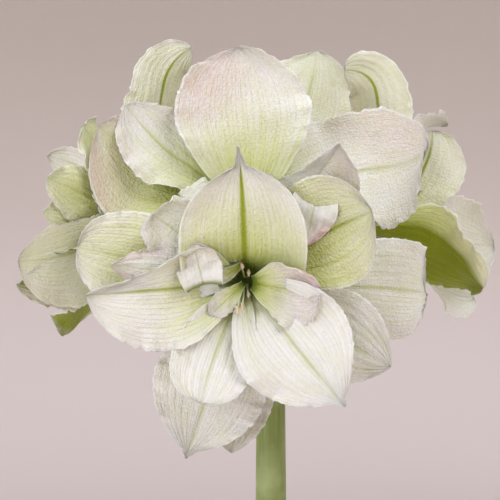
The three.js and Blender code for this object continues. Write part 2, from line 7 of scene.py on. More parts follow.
import bmesh
import bpy
import numpy as np
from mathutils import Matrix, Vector


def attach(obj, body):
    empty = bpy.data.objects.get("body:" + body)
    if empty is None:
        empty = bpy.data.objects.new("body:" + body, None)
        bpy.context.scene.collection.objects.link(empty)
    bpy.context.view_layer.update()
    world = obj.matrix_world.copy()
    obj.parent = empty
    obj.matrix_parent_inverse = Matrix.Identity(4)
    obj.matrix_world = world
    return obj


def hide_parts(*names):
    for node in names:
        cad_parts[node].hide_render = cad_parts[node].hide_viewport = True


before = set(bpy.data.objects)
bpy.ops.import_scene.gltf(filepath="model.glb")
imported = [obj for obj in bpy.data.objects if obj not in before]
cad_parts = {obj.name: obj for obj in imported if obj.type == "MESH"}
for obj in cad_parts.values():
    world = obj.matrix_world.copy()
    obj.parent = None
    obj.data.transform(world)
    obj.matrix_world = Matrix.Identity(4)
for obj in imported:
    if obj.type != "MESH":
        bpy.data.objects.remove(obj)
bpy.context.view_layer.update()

bl_info = {
    "name": "Potted Double Amaryllis",
    "version": (1, 0, 0),
    "blender": (4, 5, 0),
    "location": "View3D > Sidebar > Amaryllis",
    "description": "Builds a potted double amaryllis with its blooms, stalk, leaves, bulb and pot",
    "category": "Add Mesh",
}

MM = 0.001
BODY = "root"

# Kinds of node that come up often, and the sockets of the Mix node when it mixes colours
MATH = "ShaderNodeMath"
VECTOR_MATH = "ShaderNodeVectorMath"
MAP_RANGE = "ShaderNodeMapRange"
NOISE = "ShaderNodeTexNoise"
SPLIT = "ShaderNodeSeparateXYZ"
MIX = "ShaderNodeMix"
MIX_A = 6
MIX_B = 7
MIX_RESULT = 2

# Pot, from its foot to its rim
POT_HEIGHT = 136
POT_FOOT_RADIUS = 52
POT_TOP_RADIUS = 75
POT_WALL = 5
POT_FLOOR = 7
POT_RIM_HEIGHT = 16
POT_RIM_OUT = 3
POT_SLOPE = (POT_TOP_RADIUS - POT_FOOT_RADIUS) / POT_HEIGHT

# Potting mix and bulb
MIX_TOP = 118
MIX_GAP = 0.4
BULB_BASE = 64
BULB_TOP = 186
BULB_CUP_FLOOR = 174
BULB_CUP_RADIUS = 17
BULB_PROFILE = [(20, 0), (37, 9), (46, 27), (46, 46), (39, 64), (28, 80), (22, 94), (20.5, 116)]

# Stalk
SCAPE_FOOT = 174.4
SCAPE_PROFILE = [(11, SCAPE_FOOT), (10.6, 300), (10.1, 420), (9.3, 500), (9.3, 514), (9.9, 520), (11, 528)]
SCAPE_CROWN = [(10.4, 531.5), (8.5, 533.6), (4.5, 534.6), (0, 535)]
UMBEL_HEIGHT = 528
PEDICEL_RADIUS = 4.2
OVARY_RADIUS = 7.4
OVARY_PLACE = 0.86
OVARY_SPREAD = 0.11
OVARY_GAP = 0.9
PEDICEL_REACH = 34

# What a petal has where its own line says nothing.
# clock is the hour at which it stands, seen from in front of the flower. It leaves the throat at the
# angle lift to the flower's axis and bends over to the angle open by the share bend of its length.
# cup is the half angle of its hollow, at the claw and over the blade, and left and right add to it.
# green is the share of its length that the throat's green reaches, blush how pink it is and on which
# side, rib the green of its midrib, olive an olive green over its outer face that is partly its own
# green and partly painted shade, and quilt its embossing with the shade painted in its grooves.
PETAL = dict(
    clock=0, length=100, width=66, lift=10, open=72, bend=0.6, curl=0, swing=0, twist=0,
    claw_cup=70, cup=15, left=0, right=0, point=0.5, widest=0.6, claw=0.12,
    tail=0, trim_left=0, trim_right=0, ruffle=0.05, waves=2.3, phase=0, ring=4, start=0,
    frill=1.3, pleat=0.36, crumple=1.6, keel=0.7,
    green=0.5, blush=0.12, blush_side=0, rib=0.45, olive_shade=0, quilt=0.7,
)
TUCKED = dict(green=0.8)
SMALL = dict(claw=0.25, ruffle=0.07, ring=2, start=8, frill=1.3, green=0.6)

# The side of a plane that a flower keeps to: a point, and the direction away from the neighbour.
FRONT_UPPER = ((-16, -46, 570), (0, 0.7, 0.71))
FRONT_LEFT = ((-60, -64, 590), (-0.3, 0.95, 0))
FRONT_RIGHT = ((60, -62, 590), (0.25, 0.97, 0))
UPPER_LEFT = ((-60, -24, 600), (-0.42, 0.91, 0))
UPPER_RIGHT = ((60, -28, 600), (0.3, 0.95, 0))
UPPER_BACK = ((0, 24, 600), (0, 1, 0))
LEFT_BACK = ((-60, 58, 600), (0.5, 0.87, 0))
RIGHT_BACK = ((75, 70, 600), (-0.5, 0.87, 0))
TAIL_SHARE = 0.1
CLEARANCE = 1.2
CLEAR_SOFTNESS = 4
CLEAR_REACH = 40

FRONT_PETALS = [
    dict(clock=12, length=104, width=91, lift=4, open=78, cup=42, point=0.62, widest=0.4, tail=0.13,
         curl=-30, ruffle=0.02, ring=9, rib=1.3, green=0.8, frill=0.5, keel=1.5, quilt=0.8, swing=-5),
    dict(clock=1.87, length=101, width=72, lift=18, open=78, cup=8, point=0.59, ruffle=0.03, ring=8,
         green=1.4, quilt=1.2, frill=0.6, swing=12, widest=0.71, bend=0.6, rib=1.0),
    dict(clock=4.66, length=116, width=73, lift=12, open=76, claw_cup=80, cup=5, point=0.8, widest=0.56,
         ruffle=0.04, ring=6, bend=0.62, green=0.42, pleat=0.6, quilt=0.4, tail=0.03),
    dict(clock=6.8, length=95, width=52, lift=8, open=68, cup=10, point=0.34, widest=0.68, ruffle=0.04,
         ring=6, bend=0.55, swing=-10, green=0.6, quilt=0.25),
    dict(clock=8.88, length=112, width=82, lift=14, open=76, cup=10, point=0.6, widest=0.6, ring=7,
         right=85, trim_right=0.7, trim_left=0.1, green=0.7, frill=1.6, rib=0.8, quilt=0.5),
    dict(clock=1.17, length=112, width=78, lift=40, open=84, point=0.75, widest=0.43, ring=7, bend=0.7,
         right=0, green=0.6, blush=0.3, blush_side=1, quilt=1.1, cup=-10, swing=-4, left=12, curl=-30,
         trim_left=0.7),
    dict(clock=3.06, length=136, width=65, lift=30, open=106, cup=-16, curl=57, ring=7, bend=0.4, swing=8,
         point=0.42, green=0.35, olive_shade=0.4, pleat=0.5, widest=0.73),
    dict(clock=4, length=106, width=58, lift=34, open=84, cup=5, point=0.8, widest=0.62, ring=7, bend=0.45,
         pleat=0.5),
    dict(clock=6.62, length=117, width=72, lift=34, open=86, cup=5, point=0.85, ring=7, bend=0.4,
         frill=1.8, pleat=0.6, green=0.4, tail=0.03),
    dict(clock=6.15, length=106, width=48, lift=38, open=92, cup=5, point=0.8, ring=8, bend=0.35,
         green=0.7),
    dict(clock=9.4, length=108, width=60, lift=34, open=84, cup=10, point=0.4, widest=0.62, ring=7,
         bend=0.45, frill=1.4, green=1.2),
    dict(SMALL, clock=10.25, length=78, width=42, lift=28, open=80, claw_cup=60, cup=-20, point=0.4,
         widest=0.7, curl=-40, green=0.35, blush=0.25, frill=1.6, ring=6),
    dict(SMALL, clock=9.28, length=88, width=34, lift=30, open=78, claw_cup=60, cup=-50, point=0.9,
         widest=0.55, start=10, green=0.3, blush=0.85, frill=1.8, quilt=1.0, ring=6),
    dict(SMALL, at=(-42.0, -104.5, 549.0), clock=11.55, length=29, width=28, lift=20, open=86, bend=0.4,
         claw_cup=30, cup=-35, point=0.6, widest=0.45, claw=0.85, ring=0, start=0, curl=20, green=0.01,
         blush=0.8, frill=0.7),
    dict(SMALL, clock=3.2, length=53, width=48, lift=24, open=66, claw_cup=50, cup=-10, point=0.42,
         widest=0.7, left=110, start=22, claw=0.2, bend=0.5, green=0.75, blush=1.1, blush_side=-1, ring=5),
    dict(SMALL, clock=7.55, length=34, width=15, lift=24, open=66, claw_cup=60, cup=20, widest=0.7,
         ruffle=0.1, start=20, claw=0.3, green=0.9, blush=0.45),
    dict(SMALL, at=(-19, -84, 561), clock=7.9, length=21, width=9, lift=60, open=84, claw_cup=60, cup=30,
         widest=0.6, ring=0, start=0, claw=0.5, green=1.1, frill=0.6),
    dict(SMALL, at=(26, -100, 601), clock=6.4, length=34, width=30, lift=10, open=88, bend=0.45,
         claw_cup=40, cup=-30, point=0.9, widest=0.3, claw=0.9, ring=0, start=0, green=0.01, blush=2.2,
         frill=0.4, quilt=0.3),
]

UPPER_PETALS = [
    dict(clock=11.81, length=127, width=90, cup=18, point=0.72, widest=0.6, green=0.72, blush=0.75,
         blush_side=-1, quilt=1.0, rib=0.0, keel=0.2, lift=11, open=77, bend=0.68, swing=3, claw_cup=30),
    dict(clock=2.24, length=140, width=97, open=92, cup=-6, point=0.42, widest=0.64, green=0.5, blush=0.5,
         blush_side=-1, quilt=1.0, lift=6, bend=0.41, curl=-59, swing=27),
    dict(clock=9.92, length=108, width=56, open=72, cup=0, green=0.85, blush=0.3, quilt=0.7, lift=40,
         bend=0.36, swing=24, point=0.7, widest=0.64, claw_cup=60, start=12),
    dict(clock=10.42, length=93, lift=40, open=80, cup=5, bend=0.38, ring=5, green=0.7, width=42, swing=2,
         point=0.5, widest=0.6, start=10),
    dict(clock=9.83, length=125, width=95, lift=50, open=84, cup=-20, point=0.75, bend=0.53, ring=5,
         green=1.2, blush=0.8, quilt=0.9, curl=-14, swing=5, widest=0.55),
    dict(TUCKED, clock=4.4, length=76, width=52, open=58, cup=20),
    dict(TUCKED, clock=6.3, length=64, width=48, open=40, cup=20),
    dict(TUCKED, clock=7.9, length=72, width=50, open=54, cup=20),
    dict(SMALL, clock=1, length=30, width=26, lift=20, open=50, start=14),
    dict(SMALL, clock=10.6, length=28, width=24, lift=20, open=50, start=16),
]

LEFT_PETALS = [
    dict(clock=11.7, length=135, width=59, lift=38, open=91, claw_cup=50, cup=24, point=0.6, bend=0.43,
         curl=48, twist=93, rib=1.8, green=0.45, swing=26, widest=0.44),
    dict(clock=0.92, length=94, lift=25, open=53, cup=4, bend=0.67, ring=3, green=1.3, pleat=0.6, width=76,
         point=0.38, widest=0.52),
    dict(clock=2.42, length=104, width=47, lift=20, open=49, cup=43, bend=0.54, green=1.3, curl=-3,
         swing=-1, point=0.7, widest=0.58),
    dict(clock=3.86, length=117, width=73, open=54, cup=-60, bend=0.72, olive_shade=0.3, blush=0.3, lift=27,
         curl=-26, swing=-1, point=0.53, widest=0.69, twist=-2),
    dict(clock=6.52, length=106, width=71, lift=24, open=66, ring=6, point=0.64, widest=0.59, bend=0.6,
         twist=-30, olive_shade=3, curl=-12, swing=8, cup=17, green=0.9),
    dict(clock=7.9, length=100, width=60, lift=8, open=60, bend=0.72, ring=3),
    dict(clock=10.14, length=123, width=47, lift=35, open=42, ring=6, bend=0.61, curl=-37, swing=-11,
         cup=60, point=0.56, widest=0.51),
    dict(SMALL, clock=4.46, length=117, width=60, lift=20, open=46, start=0, bend=0.46, swing=-15,
         point=0.56, widest=0.49, cup=-54, claw=0.25, ring=4, olive_shade=4, green=1.0),
    dict(SMALL, clock=2.92, length=93, width=44, lift=16, open=46, start=6, bend=0.38, curl=-39, swing=12,
         cup=17, point=0.71, widest=0.5, ring=4, green=1.2),
]

RIGHT_PETALS = [
    dict(clock=11.8, length=132, width=46, lift=21, open=99, claw_cup=50, cup=27, widest=0.64, bend=0.42,
         curl=81, twist=-87, point=0.47, rib=1.8, green=0.5, swing=10),
    dict(clock=0.55, length=116, width=62, lift=35, open=56, bend=0.61, curl=-60, swing=2, cup=-47,
         point=0.67, widest=0.49),
    dict(clock=3.75, length=129, open=27, bend=0.68, width=70, lift=0, curl=-33, swing=-8, cup=60,
         point=0.57, widest=0.67),
    dict(clock=4.76, length=127, open=36, bend=0.78, olive_shade=0.6, width=56, lift=26, curl=-30, swing=-4,
         cup=5, point=0.54, widest=0.74),
    dict(clock=7.7, length=103, width=63, lift=1, open=51, point=0.55, widest=0.52, bend=0.65, olive_shade=5,
         green=1.3, curl=14, swing=-4, cup=26, twist=-10),
    dict(clock=11.77, length=98, width=59, lift=7, open=64, bend=0.74, curl=23, swing=18, cup=49,
         point=0.39, widest=0.61, twist=-76, rib=1.2, green=0.7),
    dict(SMALL, clock=0.4, length=60, width=30, lift=20, open=40, start=12),
    dict(SMALL, clock=4, length=48, width=28, lift=20, open=36, start=14),
]

BACK_PETALS = [
    dict(clock=11.16, length=149, width=84, open=63, claw_cup=80, bend=0.54, lift=4, curl=-12, swing=15,
         cup=8, point=0.69, widest=0.64),
    dict(clock=1.3, length=108, width=60, lift=30, open=80, ring=6),
    dict(clock=3.3, length=100, width=62, lift=8, open=66, bend=0.72, ring=3, blush=0.4),
    dict(clock=5.3, length=108, width=60, lift=30, open=80, ring=6),
    dict(clock=7.3, length=100, width=62, lift=8, open=66, bend=0.72, ring=3),
    dict(clock=9.3, length=108, width=60, lift=30, open=80, ring=6, blush=0.4),
    dict(SMALL, clock=2.2, length=60, width=32, lift=20, open=50, start=12),
    dict(SMALL, clock=7, length=54, width=30, lift=20, open=46, start=14),
]

# Each flower: where its throat is, where it looks, the planes that it keeps before and behind,
# where its stalklet bends, and its petals.
FLOWERS = {
    "front": dict(at=(-16.5, -62, 551), axis=(-0.03, -0.99, -0.04), bend=(-3, -6, 552),
                  before=[FRONT_UPPER, FRONT_LEFT, FRONT_RIGHT], behind=[], petals=FRONT_PETALS),
    "upper": dict(at=(-14, -26, 584.5), axis=(0, -0.82, 0.57), bend=(-6, 8, 552),
                  before=[UPPER_LEFT, UPPER_RIGHT, UPPER_BACK], behind=[FRONT_UPPER], petals=UPPER_PETALS),
    "left": dict(at=(-66.5, 0, 582), axis=(-0.96, 0, 0.16), bend=(-5, 1, 556),
                 before=[LEFT_BACK], behind=[FRONT_LEFT, UPPER_LEFT], petals=LEFT_PETALS),
    "right": dict(at=(54, 14, 585), axis=(0.94, 0.3, 0), bend=(4, 2, 560),
                  before=[RIGHT_BACK], behind=[FRONT_RIGHT, UPPER_RIGHT], petals=RIGHT_PETALS),
    "back": dict(at=(-1.3, 55, 594.7), axis=(0.05, 0.93, 0.3), bend=(0, 6, 556),
                 before=[], behind=[UPPER_BACK, LEFT_BACK, RIGHT_BACK], petals=BACK_PETALS),
}

# Strap leaves, standing round the stalk in the bulb's neck
LEAF = dict(
    PETAL, claw_cup=44, cup=24, claw=0.42, point=0.75, widest=0.45, ruffle=0.008, waves=1.2, ring=13.2,
    bend=0.95, frill=0.15, pleat=0.12, crumple=0.9, keel=0.9,
)
LEAVES = [
    dict(LEAF, clock=0.6, length=236, width=42, lift=6, open=88, curl=20, swing=6),
    dict(LEAF, clock=3.8, length=262, width=44, lift=4, open=96, curl=26, swing=-8),
    dict(LEAF, clock=6.8, length=208, width=38, lift=5, open=82, curl=14, swing=8),
    dict(LEAF, clock=9.7, length=250, width=43, lift=5, open=92, curl=24, swing=-6),
]
LEAF_FOOT = BULB_CUP_FLOOR + MIX_GAP

# Withered spathe: two papery bracts that hang from under the top of the stalk
SPATHE = dict(
    PETAL, length=54, width=24, lift=16, open=34, claw_cup=40, cup=60, claw=0.5, point=1.1, widest=0.4,
    ruffle=0.02, ring=10.3, frill=0.5, pleat=0.25, crumple=0.6, keel=0.3,
)
SPATHES = [dict(SPATHE, clock=2.6), dict(SPATHE, clock=8.8, length=46, open=28)]
SPATHE_TOP = 516

# Stamens of each flower: the hour, and how far they reach out, spread, sag and turn up at the end
STAMENS = {
    "front": [
        (6.4, 34, 2, 10, 2),
        (7.4, 36, 4, 11, 3),
        (5.2, 22, 3, 2, 2),
        (11.6, 24, 5, -3, 1),
        (0.8, 20, 3, -1, 1),
    ],
    "upper": [(6.2, 38, 3, 8, 4), (7.2, 34, 5, 7, 4), (5.0, 36, 5, 8, 4), (11, 26, 4, 0, 2)],
    "left": [
        (6.0, 44, 3, 9, 5), (7.1, 40, 5, 8, 5), (4.9, 41, 5, 9, 5), (8.2, 34, 5, 5, 4), (3.9, 36, 5, 5, 4),
    ],
    "right": [
        (6.0, 45, 3, 9, 5), (7.2, 40, 5, 8, 5), (4.8, 42, 5, 9, 5), (8.1, 35, 5, 5, 4), (3.8, 36, 5, 5, 4),
    ],
    "back": [
        (6.0, 44, 3, 9, 5), (7.0, 41, 5, 8, 5), (5.0, 42, 5, 9, 5), (8.0, 35, 5, 5, 4), (4.0, 36, 5, 5, 4),
    ],
}

# Grids of faces along and across a blade. A petal shorter than SMALL_LENGTH gets the coarser one.
PETAL_GRID = (78, 38)
SMALL_GRID = (52, 26)
SMALL_LENGTH = 80
LEAF_GRID = (150, 40)
BRACT_GRID = (60, 30)

# Seeds of the waves and folds, which count up from these
SEEDS_PER_FLOWER = 100
LEAF_SEED = 40
BRACT_SEED = 60

# Steps along the paths of stalklets and filaments, and sides of the round pieces
PEDICEL_STEPS = 34
PEDICEL_SIDES = 30
STAMEN_STEPS = 20
THROAT_SIDES = 40
MIX_SIDES = 120
STUDIO_SIDES = 96

# Spreads the petals' draws evenly between 0 and 1
GOLDEN_SHARE = 0.618
THROAT_PROFILE = [
    (0, 0), (6, 0.2), (8.6, 1.5), (10, 6), (11.5, 13), (11.9, 13.6), (11.2, 13.2), (8.6, 8), (5, 4), (0, 3),
]

# A direction that no stalklet runs along, from which its rings are turned
TUBE_UP = (0.01, 0.01, 1.01)

# Rings of throwing on the pot, in metres
RING_SPACING = 0.0062

# Stage: the wall rises from the floor in a cove. Each light has its place, aim, size, watts and colour.
COVE_RADIUS = 700
COVE_STEPS = 16
WALL_TOP = 4200
LIGHTS = {
    "key": ((1.3, -1.7, 2.3), (0, 0, 0.55), 1.5, 27, "#F5F9FA"),
    "fill": ((-1.9, -1.9, 1.0), (0, 0, 0.5), 1.8, 32, "#EEF5FF"),
    "top": ((-0.2, 0.5, 2.6), (0, 0, 0.5), 1.8, 20, "#F5FBFF"),
}
WORLD_TONE = "#E8EEF2"
WORLD_STRENGTH = 1.02
CAMERA_PLACE = (-0.014, -1.1, 0.57)


def linear(text):
    """An sRGB hex colour as linear RGBA."""
    parts = [int(text[i:i + 2], 16) / 255 for i in (1, 3, 5)]
    return tuple(c / 12.92 if c <= 0.04045 else ((c + 0.055) / 1.055) ** 2.4 for c in parts) + (1.0,)


def add(tree, kind, *values, sockets=None, out=0, **settings):
    """Adds a node with its settings, feeds its sockets in order or by name, and gives one output."""
    node = tree.nodes.new(kind)
    for name, value in settings.items():
        setattr(node, name, value)
    for key, value in [*enumerate(values), *(sockets or {}).items()]:
        if isinstance(value, bpy.types.NodeSocket):
            tree.links.new(value, node.inputs[key])
        else:
            node.inputs[key].default_value = value
    return node if out is None else node.outputs[out]


def smooth(low, high, x):
    """A smooth step of x, from 0 at low to 1 at high."""
    t = np.clip((np.asarray(x, float) - low) / (high - low), 0, 1)
    return t * t * (3 - 2 * t)


def unit(a):
    """The vectors of an array at length 1."""
    return a / np.maximum(np.linalg.norm(a, axis=-1, keepdims=True), 1e-12)


# Shapes


def axes_of(axis, up=(0, 0, 1)):
    """The forward, upward and side directions of a flower that looks along an axis."""
    forward = unit(np.array(axis, float))
    upward = np.array(up, float)
    upward = unit(upward - forward * upward.dot(forward))
    return forward, upward, np.cross(upward, forward)


def half_width(petal, u, v=0.0):
    """Half the width of a petal at the share u of its length, trimmed on the side that v tells."""
    body = np.minimum(u / (1 - petal["tail"]), 1)
    grow = petal["claw"] + (1 - petal["claw"]) * smooth(0, petal["widest"], body)
    q = np.clip((body - petal["widest"]) / (1 - petal["widest"]), 0, 1)
    grow = grow * np.maximum(1 - q ** 2.2, 0) ** petal["point"]
    trim = np.where(np.asarray(v) < 0, petal["trim_left"], petal["trim_right"])
    grow = grow * (1 - trim * smooth(0.3, 0.85, u))
    if petal["tail"] > 0:
        drawn = TAIL_SHARE * np.clip((1 - u) / petal["tail"], 0, 1)
        grow = np.where(u > petal["widest"], np.maximum(grow, drawn), grow)
    return petal["width"] / 2 * np.maximum(grow, 0.025)


def edge_wave(petal, u, v, rng):
    """How far the blade waves, pleats and crumples out of its hollow."""
    side = np.where(v < 0, 0.37, 0.0)
    slow = np.sin(2 * np.pi * (petal["waves"] * u + petal["phase"] + side))
    quick = np.sin(2 * np.pi * (petal["waves"] * 2.3 * u + 1.7 * petal["phase"] + 2 * side))
    window = smooth(0.25, 0.55, u) * (1 - 0.6 * smooth(0.9, 1, u))
    rise = petal["ruffle"] * petal["width"] * np.abs(v) ** 2.5 * (slow + 0.45 * quick) * window
    width = half_width(petal, u)
    room = np.clip(width / 12, 0, 1)
    turns = rng.uniform(0, 2 * np.pi, 12)
    pace = petal["length"] / 9.5
    frill = np.sin(2 * np.pi * pace * u + turns[0] + 2.2 * np.sign(v))
    frill = frill + 0.6 * np.sin(2 * np.pi * pace * 1.83 * u + turns[1] + 1.1 * np.sign(v))
    rise = rise + petal["frill"] * frill * np.abs(v) ** 7 * smooth(0.3, 0.5, u) * room * 0.75
    ribs = np.cos(2 * np.pi * v * petal["width"] / 11 + 0.7 * np.sin(5 * u + turns[2]))
    rise = rise + petal["pleat"] * ribs * smooth(0.08, 0.35, u) * (1 - np.abs(v) ** 4) * room
    rise = (
        rise
        - petal["keel"] * np.exp(-(v / 0.075) ** 2) * smooth(0.02, 0.12, u) * (1 - smooth(0.9, 1, u)) * room
    )
    roll = (
        np.sin(2 * np.pi * (1.7 * u + 0.45 * v) + turns[3])
        + 0.7 * np.sin(2 * np.pi * (2.9 * u - 0.8 * v) + turns[4])
    )
    roll = roll + 0.5 * np.sin(2 * np.pi * (4.3 * u + 1.2 * v) + turns[5]) * np.abs(v)
    return rise + petal["crumple"] * roll * smooth(0.15, 0.5, u) * room * 0.6


def blade_rows(axes, origin, petal, along, across, seed, crowd=1.3, planes=()):
    """The middle surface of a petal: its points, and the shares u and v at each."""
    rng = np.random.default_rng(seed)
    forward, upward, side = axes
    steps = 960
    s = np.linspace(0, 1, steps + 1)
    clock = math.radians(petal["clock"] * 30)
    opening = petal["lift"] + (petal["open"] - petal["lift"]) * smooth(0, petal["bend"], s)
    angle = np.radians(opening + petal["curl"] * smooth(0.72, 1, s))[:, None]
    turned = (clock + math.radians(petal["swing"]) * s * s)[:, None]
    radial = upward * np.cos(turned) + side * np.sin(turned)
    over = side * np.cos(turned) - upward * np.sin(turned)
    ahead = forward * np.cos(angle) + radial * np.sin(angle)
    inner = np.cross(over, ahead)
    twist = (math.radians(petal["twist"]) * s * s)[:, None]
    wide = over * np.cos(twist) + inner * np.sin(twist)
    deep = inner * np.cos(twist) - over * np.sin(twist)
    first = np.array(origin, float) + forward * petal["start"]
    first = first + petal["ring"] * (upward * math.cos(clock) + side * math.sin(clock))
    path = first + np.vstack([np.zeros(3), np.cumsum(ahead[:-1], 0)]) * petal["length"] / steps

    share = 1 - (1 - np.arange(along + 1) / along) ** crowd
    pick = np.round(share * steps).astype(int)
    u = s[pick][:, None]
    t = np.linspace(-1, 1, across + 1)[None, :]
    v = np.sign(t) * np.abs(t) ** 0.88
    u, v = np.broadcast_arrays(u, v)
    turns = rng.uniform(0, 2 * np.pi, 4)
    notch = 0.5 * np.sin(2 * np.pi * petal["length"] / 7.3 * u + turns[0] + 3 * np.sign(v))
    notch = notch + 0.5 * np.sin(2 * np.pi * petal["length"] / 4.1 * u + turns[1] + np.sign(v))
    half = (
        half_width(petal, u, v)
        + 0.35 * petal["frill"] * notch * np.abs(v) ** 5 * smooth(0.35, 0.5, u) * (1 - smooth(0.93, 1, u))
    )
    hollow = petal["claw_cup"] + (petal["cup"] - petal["claw_cup"]) * smooth(0.1, 0.7, u)
    extra = np.where(v < 0, petal["left"], petal["right"]) * smooth(0.25, 0.7, u)
    arc = np.radians(hollow + extra)
    arc = np.where(np.abs(arc) < 1e-4, 1e-4, arc)
    x = half * np.sin(arc * v) / arc
    z = half * (1 - np.cos(arc * v)) / arc + edge_wave(petal, u, v, rng)
    rows = (
        path[pick][:, None, :]
        + wide[pick][:, None, :] * x[..., None]
        + deep[pick][:, None, :] * z[..., None]
    )
    for (at, to), sign in planes:
        normal = unit(np.array(to, float)) * sign
        distance = (rows - np.array(at, float)) @ normal
        bent = (
            CLEARANCE
            + CLEAR_SOFTNESS
            * np.log1p(np.exp(np.minimum(distance - CLEARANCE, CLEAR_REACH) / CLEAR_SOFTNESS))
        )
        push = np.where(distance > CLEAR_REACH, 0, bent - distance)
        rows = rows + normal * push[..., None]
    return rows, u, v


def blade_shell(rows, thickness, edge=0.55):
    """A closed blade round a grid of points: its points and faces, inner sheet first."""
    n, m = rows.shape[:2]
    down = np.gradient(rows, axis=0)
    over = np.gradient(rows, axis=1)
    normal = unit(np.cross(over, down))
    t = np.abs(np.linspace(-1, 1, m))
    half = thickness / 2 * (1 - (1 - edge) * t ** 6)
    shift = normal * half[None, :, None]
    points = np.concatenate([(rows + shift).reshape(-1, 3), (rows - shift).reshape(-1, 3)])
    i, j = np.meshgrid(np.arange(n - 1), np.arange(m - 1), indexing="ij")
    a = (i * m + j).ravel()
    quads = np.stack([a, a + 1, a + m + 1, a + m], 1)
    back = quads[:, ::-1] + n * m
    rim = [(0, j) for j in range(m - 1)] + [(i, m - 1) for i in range(n - 1)]
    rim += [(n - 1, j) for j in range(m - 1, 0, -1)] + [(i, 0) for i in range(n - 1, 0, -1)]
    ring = np.array([i * m + j for i, j in rim])
    after = np.roll(ring, -1)
    side = np.stack([ring, ring + n * m, after + n * m, after], 1)
    return points, np.concatenate([quads, back, side])


class Sheaf:
    """Gathers points, faces and point values of several shapes that become one mesh."""

    def __init__(self):
        self.points = []
        self.faces = []
        self.values = {}
        self.count = 0

    def take(self, points, faces, **values):
        """Adds one shape, with the values that its points carry."""
        self.points.append(np.asarray(points, float))
        corners = faces.tolist() if isinstance(faces, np.ndarray) else faces
        self.faces.extend([corner + self.count for corner in face] for face in corners)
        for name, value in values.items():
            self.values.setdefault(name, []).append(np.asarray(value, float).reshape(-1, 3))
        self.count += len(points)

    def mesh(self, name):
        """The smooth mesh of all the shapes, in metres."""
        mesh = bpy.data.meshes.new(name)
        mesh.from_pydata((np.concatenate(self.points) * MM).tolist(), [], self.faces)
        for key, parts in self.values.items():
            attribute = mesh.attributes.new(key, "FLOAT_VECTOR", "POINT")
            attribute.data.foreach_set("vector", np.concatenate(parts).astype(np.float32).ravel())
        mesh.polygons.foreach_set("use_smooth", np.ones(len(mesh.polygons), bool))
        mesh.update()
        return mesh


def lie_values(u, v):
    """The shares u and v at each point of a blade, with 0 on its inner face and 1 on its outer one."""
    faces = [np.stack([u, v, np.full_like(u, face)], -1).reshape(-1, 3) for face in (0.0, 1.0)]
    return np.concatenate(faces)


def petal_values(petal, u, v, draw):
    """What the tissue reads at each point: its shares, its tints, its painted shade with its seed, and its
    place in millimetres.
    """
    edge = smooth(0.25, 0.95, np.abs(v))
    if petal["blush_side"] != 0:
        edge = smooth(-0.5, 0.9, v * petal["blush_side"])
    tip = smooth(0.45, 0.95, u) * (0.35 + 0.65 * edge)
    pink = petal["blush"] * np.clip(tip + 0.3 * edge * smooth(0.3, 0.6, u), 0, 1)
    even = np.ones_like(u)
    values = {"lie": lie_values(u, v)}
    for name, parts in (
        ("tint", (petal["green"] * even, pink, petal["rib"] * even)),
        # The third set holds how strongly olive shade and groove shade are painted on the tepal, and its
        # seed
        ("shade_and_seed", (petal["olive_shade"] * even, petal["quilt"] * smooth(0.16, 0.5, u), draw * even)),
        ("lay", (v * petal["width"] / 2, u * petal["length"], draw * even)),
    ):
        values[name] = np.tile(np.stack(parts, -1).reshape(-1, 3), (2, 1))
    return values


def tube_points(path, radius, sides, lobes):
    """A closed tube along a path, with a radius and the depth of its three lobes at each point."""
    path = np.asarray(path, float)
    ahead = unit(np.gradient(path, axis=0))
    side = unit(np.cross(ahead[0], TUBE_UP))
    frames = []
    for direction in ahead:
        side = unit(side - direction * side.dot(direction))
        frames.append((side, np.cross(direction, side)))
    turn = np.linspace(0, 2 * np.pi, sides, endpoint=False)
    rings = []
    for k, (p, (a, b)) in enumerate(zip(path, frames)):
        r = radius[k] * (1 + lobes[k] * np.cos(3 * turn))
        rings.append(p + np.outer(r * np.cos(turn), a) + np.outer(r * np.sin(turn), b))
    points = np.concatenate(rings + [path[:1], path[-1:]])
    n = len(path)
    faces = []
    for i in range(n - 1):
        for k in range(sides):
            q = (k + 1) % sides
            faces.append([i * sides + k, i * sides + q, (i + 1) * sides + q, (i + 1) * sides + k])
    for k in range(sides):
        q = (k + 1) % sides
        faces.append([n * sides, q, k])
        faces.append([n * sides + 1, (n - 1) * sides + k, (n - 1) * sides + q])
    return points, faces


def bezier(points, steps):
    """A cubic Bezier curve through its two ends, drawn towards the two points between."""
    a, b, c, d = (np.array(p, float) for p in points)
    t = np.linspace(0, 1, steps + 1)[:, None]
    return a * (1 - t) ** 3 + 3 * b * t * (1 - t) ** 2 + 3 * c * t * t * (1 - t) + d * t ** 3


def turned_points(profile, sides, ripple=None):
    """A body turned about Z from pairs of radius and height; ripple moves its points in or out."""
    turn = np.linspace(0, 2 * np.pi, sides, endpoint=False)
    rows = []
    for r, z in profile:
        rr = np.full(sides, float(r))
        zz = np.full(sides, float(z))
        if ripple is not None and r > 0:
            dr, dz = ripple(turn, rr, zz)
            rr, zz = rr + dr, zz + dz
        rows.append(np.stack([rr * np.cos(turn), rr * np.sin(turn), zz], 1))
    points = []
    index = []
    for (r, z), row in zip(profile, rows):
        if r <= 0:
            index.append([len(points)] * sides)
            points.append(row[0])
        else:
            index.append(list(range(len(points), len(points) + sides)))
            points.extend(row)
    faces = []
    for low, high in zip(index, index[1:]):
        for k in range(sides):
            q = (k + 1) % sides
            face = [low[k], low[q], high[q], high[k]]
            kept = [p for i, p in enumerate(face) if p not in face[:i]]
            faces.append(kept)
    return np.array(points), faces


def fine_profile(pairs, step):
    """A profile with points added along its straight runs."""
    pairs = np.array(pairs, float)
    out = []
    for a, b in zip(pairs, pairs[1:]):
        count = max(int(np.linalg.norm(b - a) / step), 1)
        out += [a + (b - a) * k / count for k in range(count)]
    return np.array(out + [pairs[-1]])


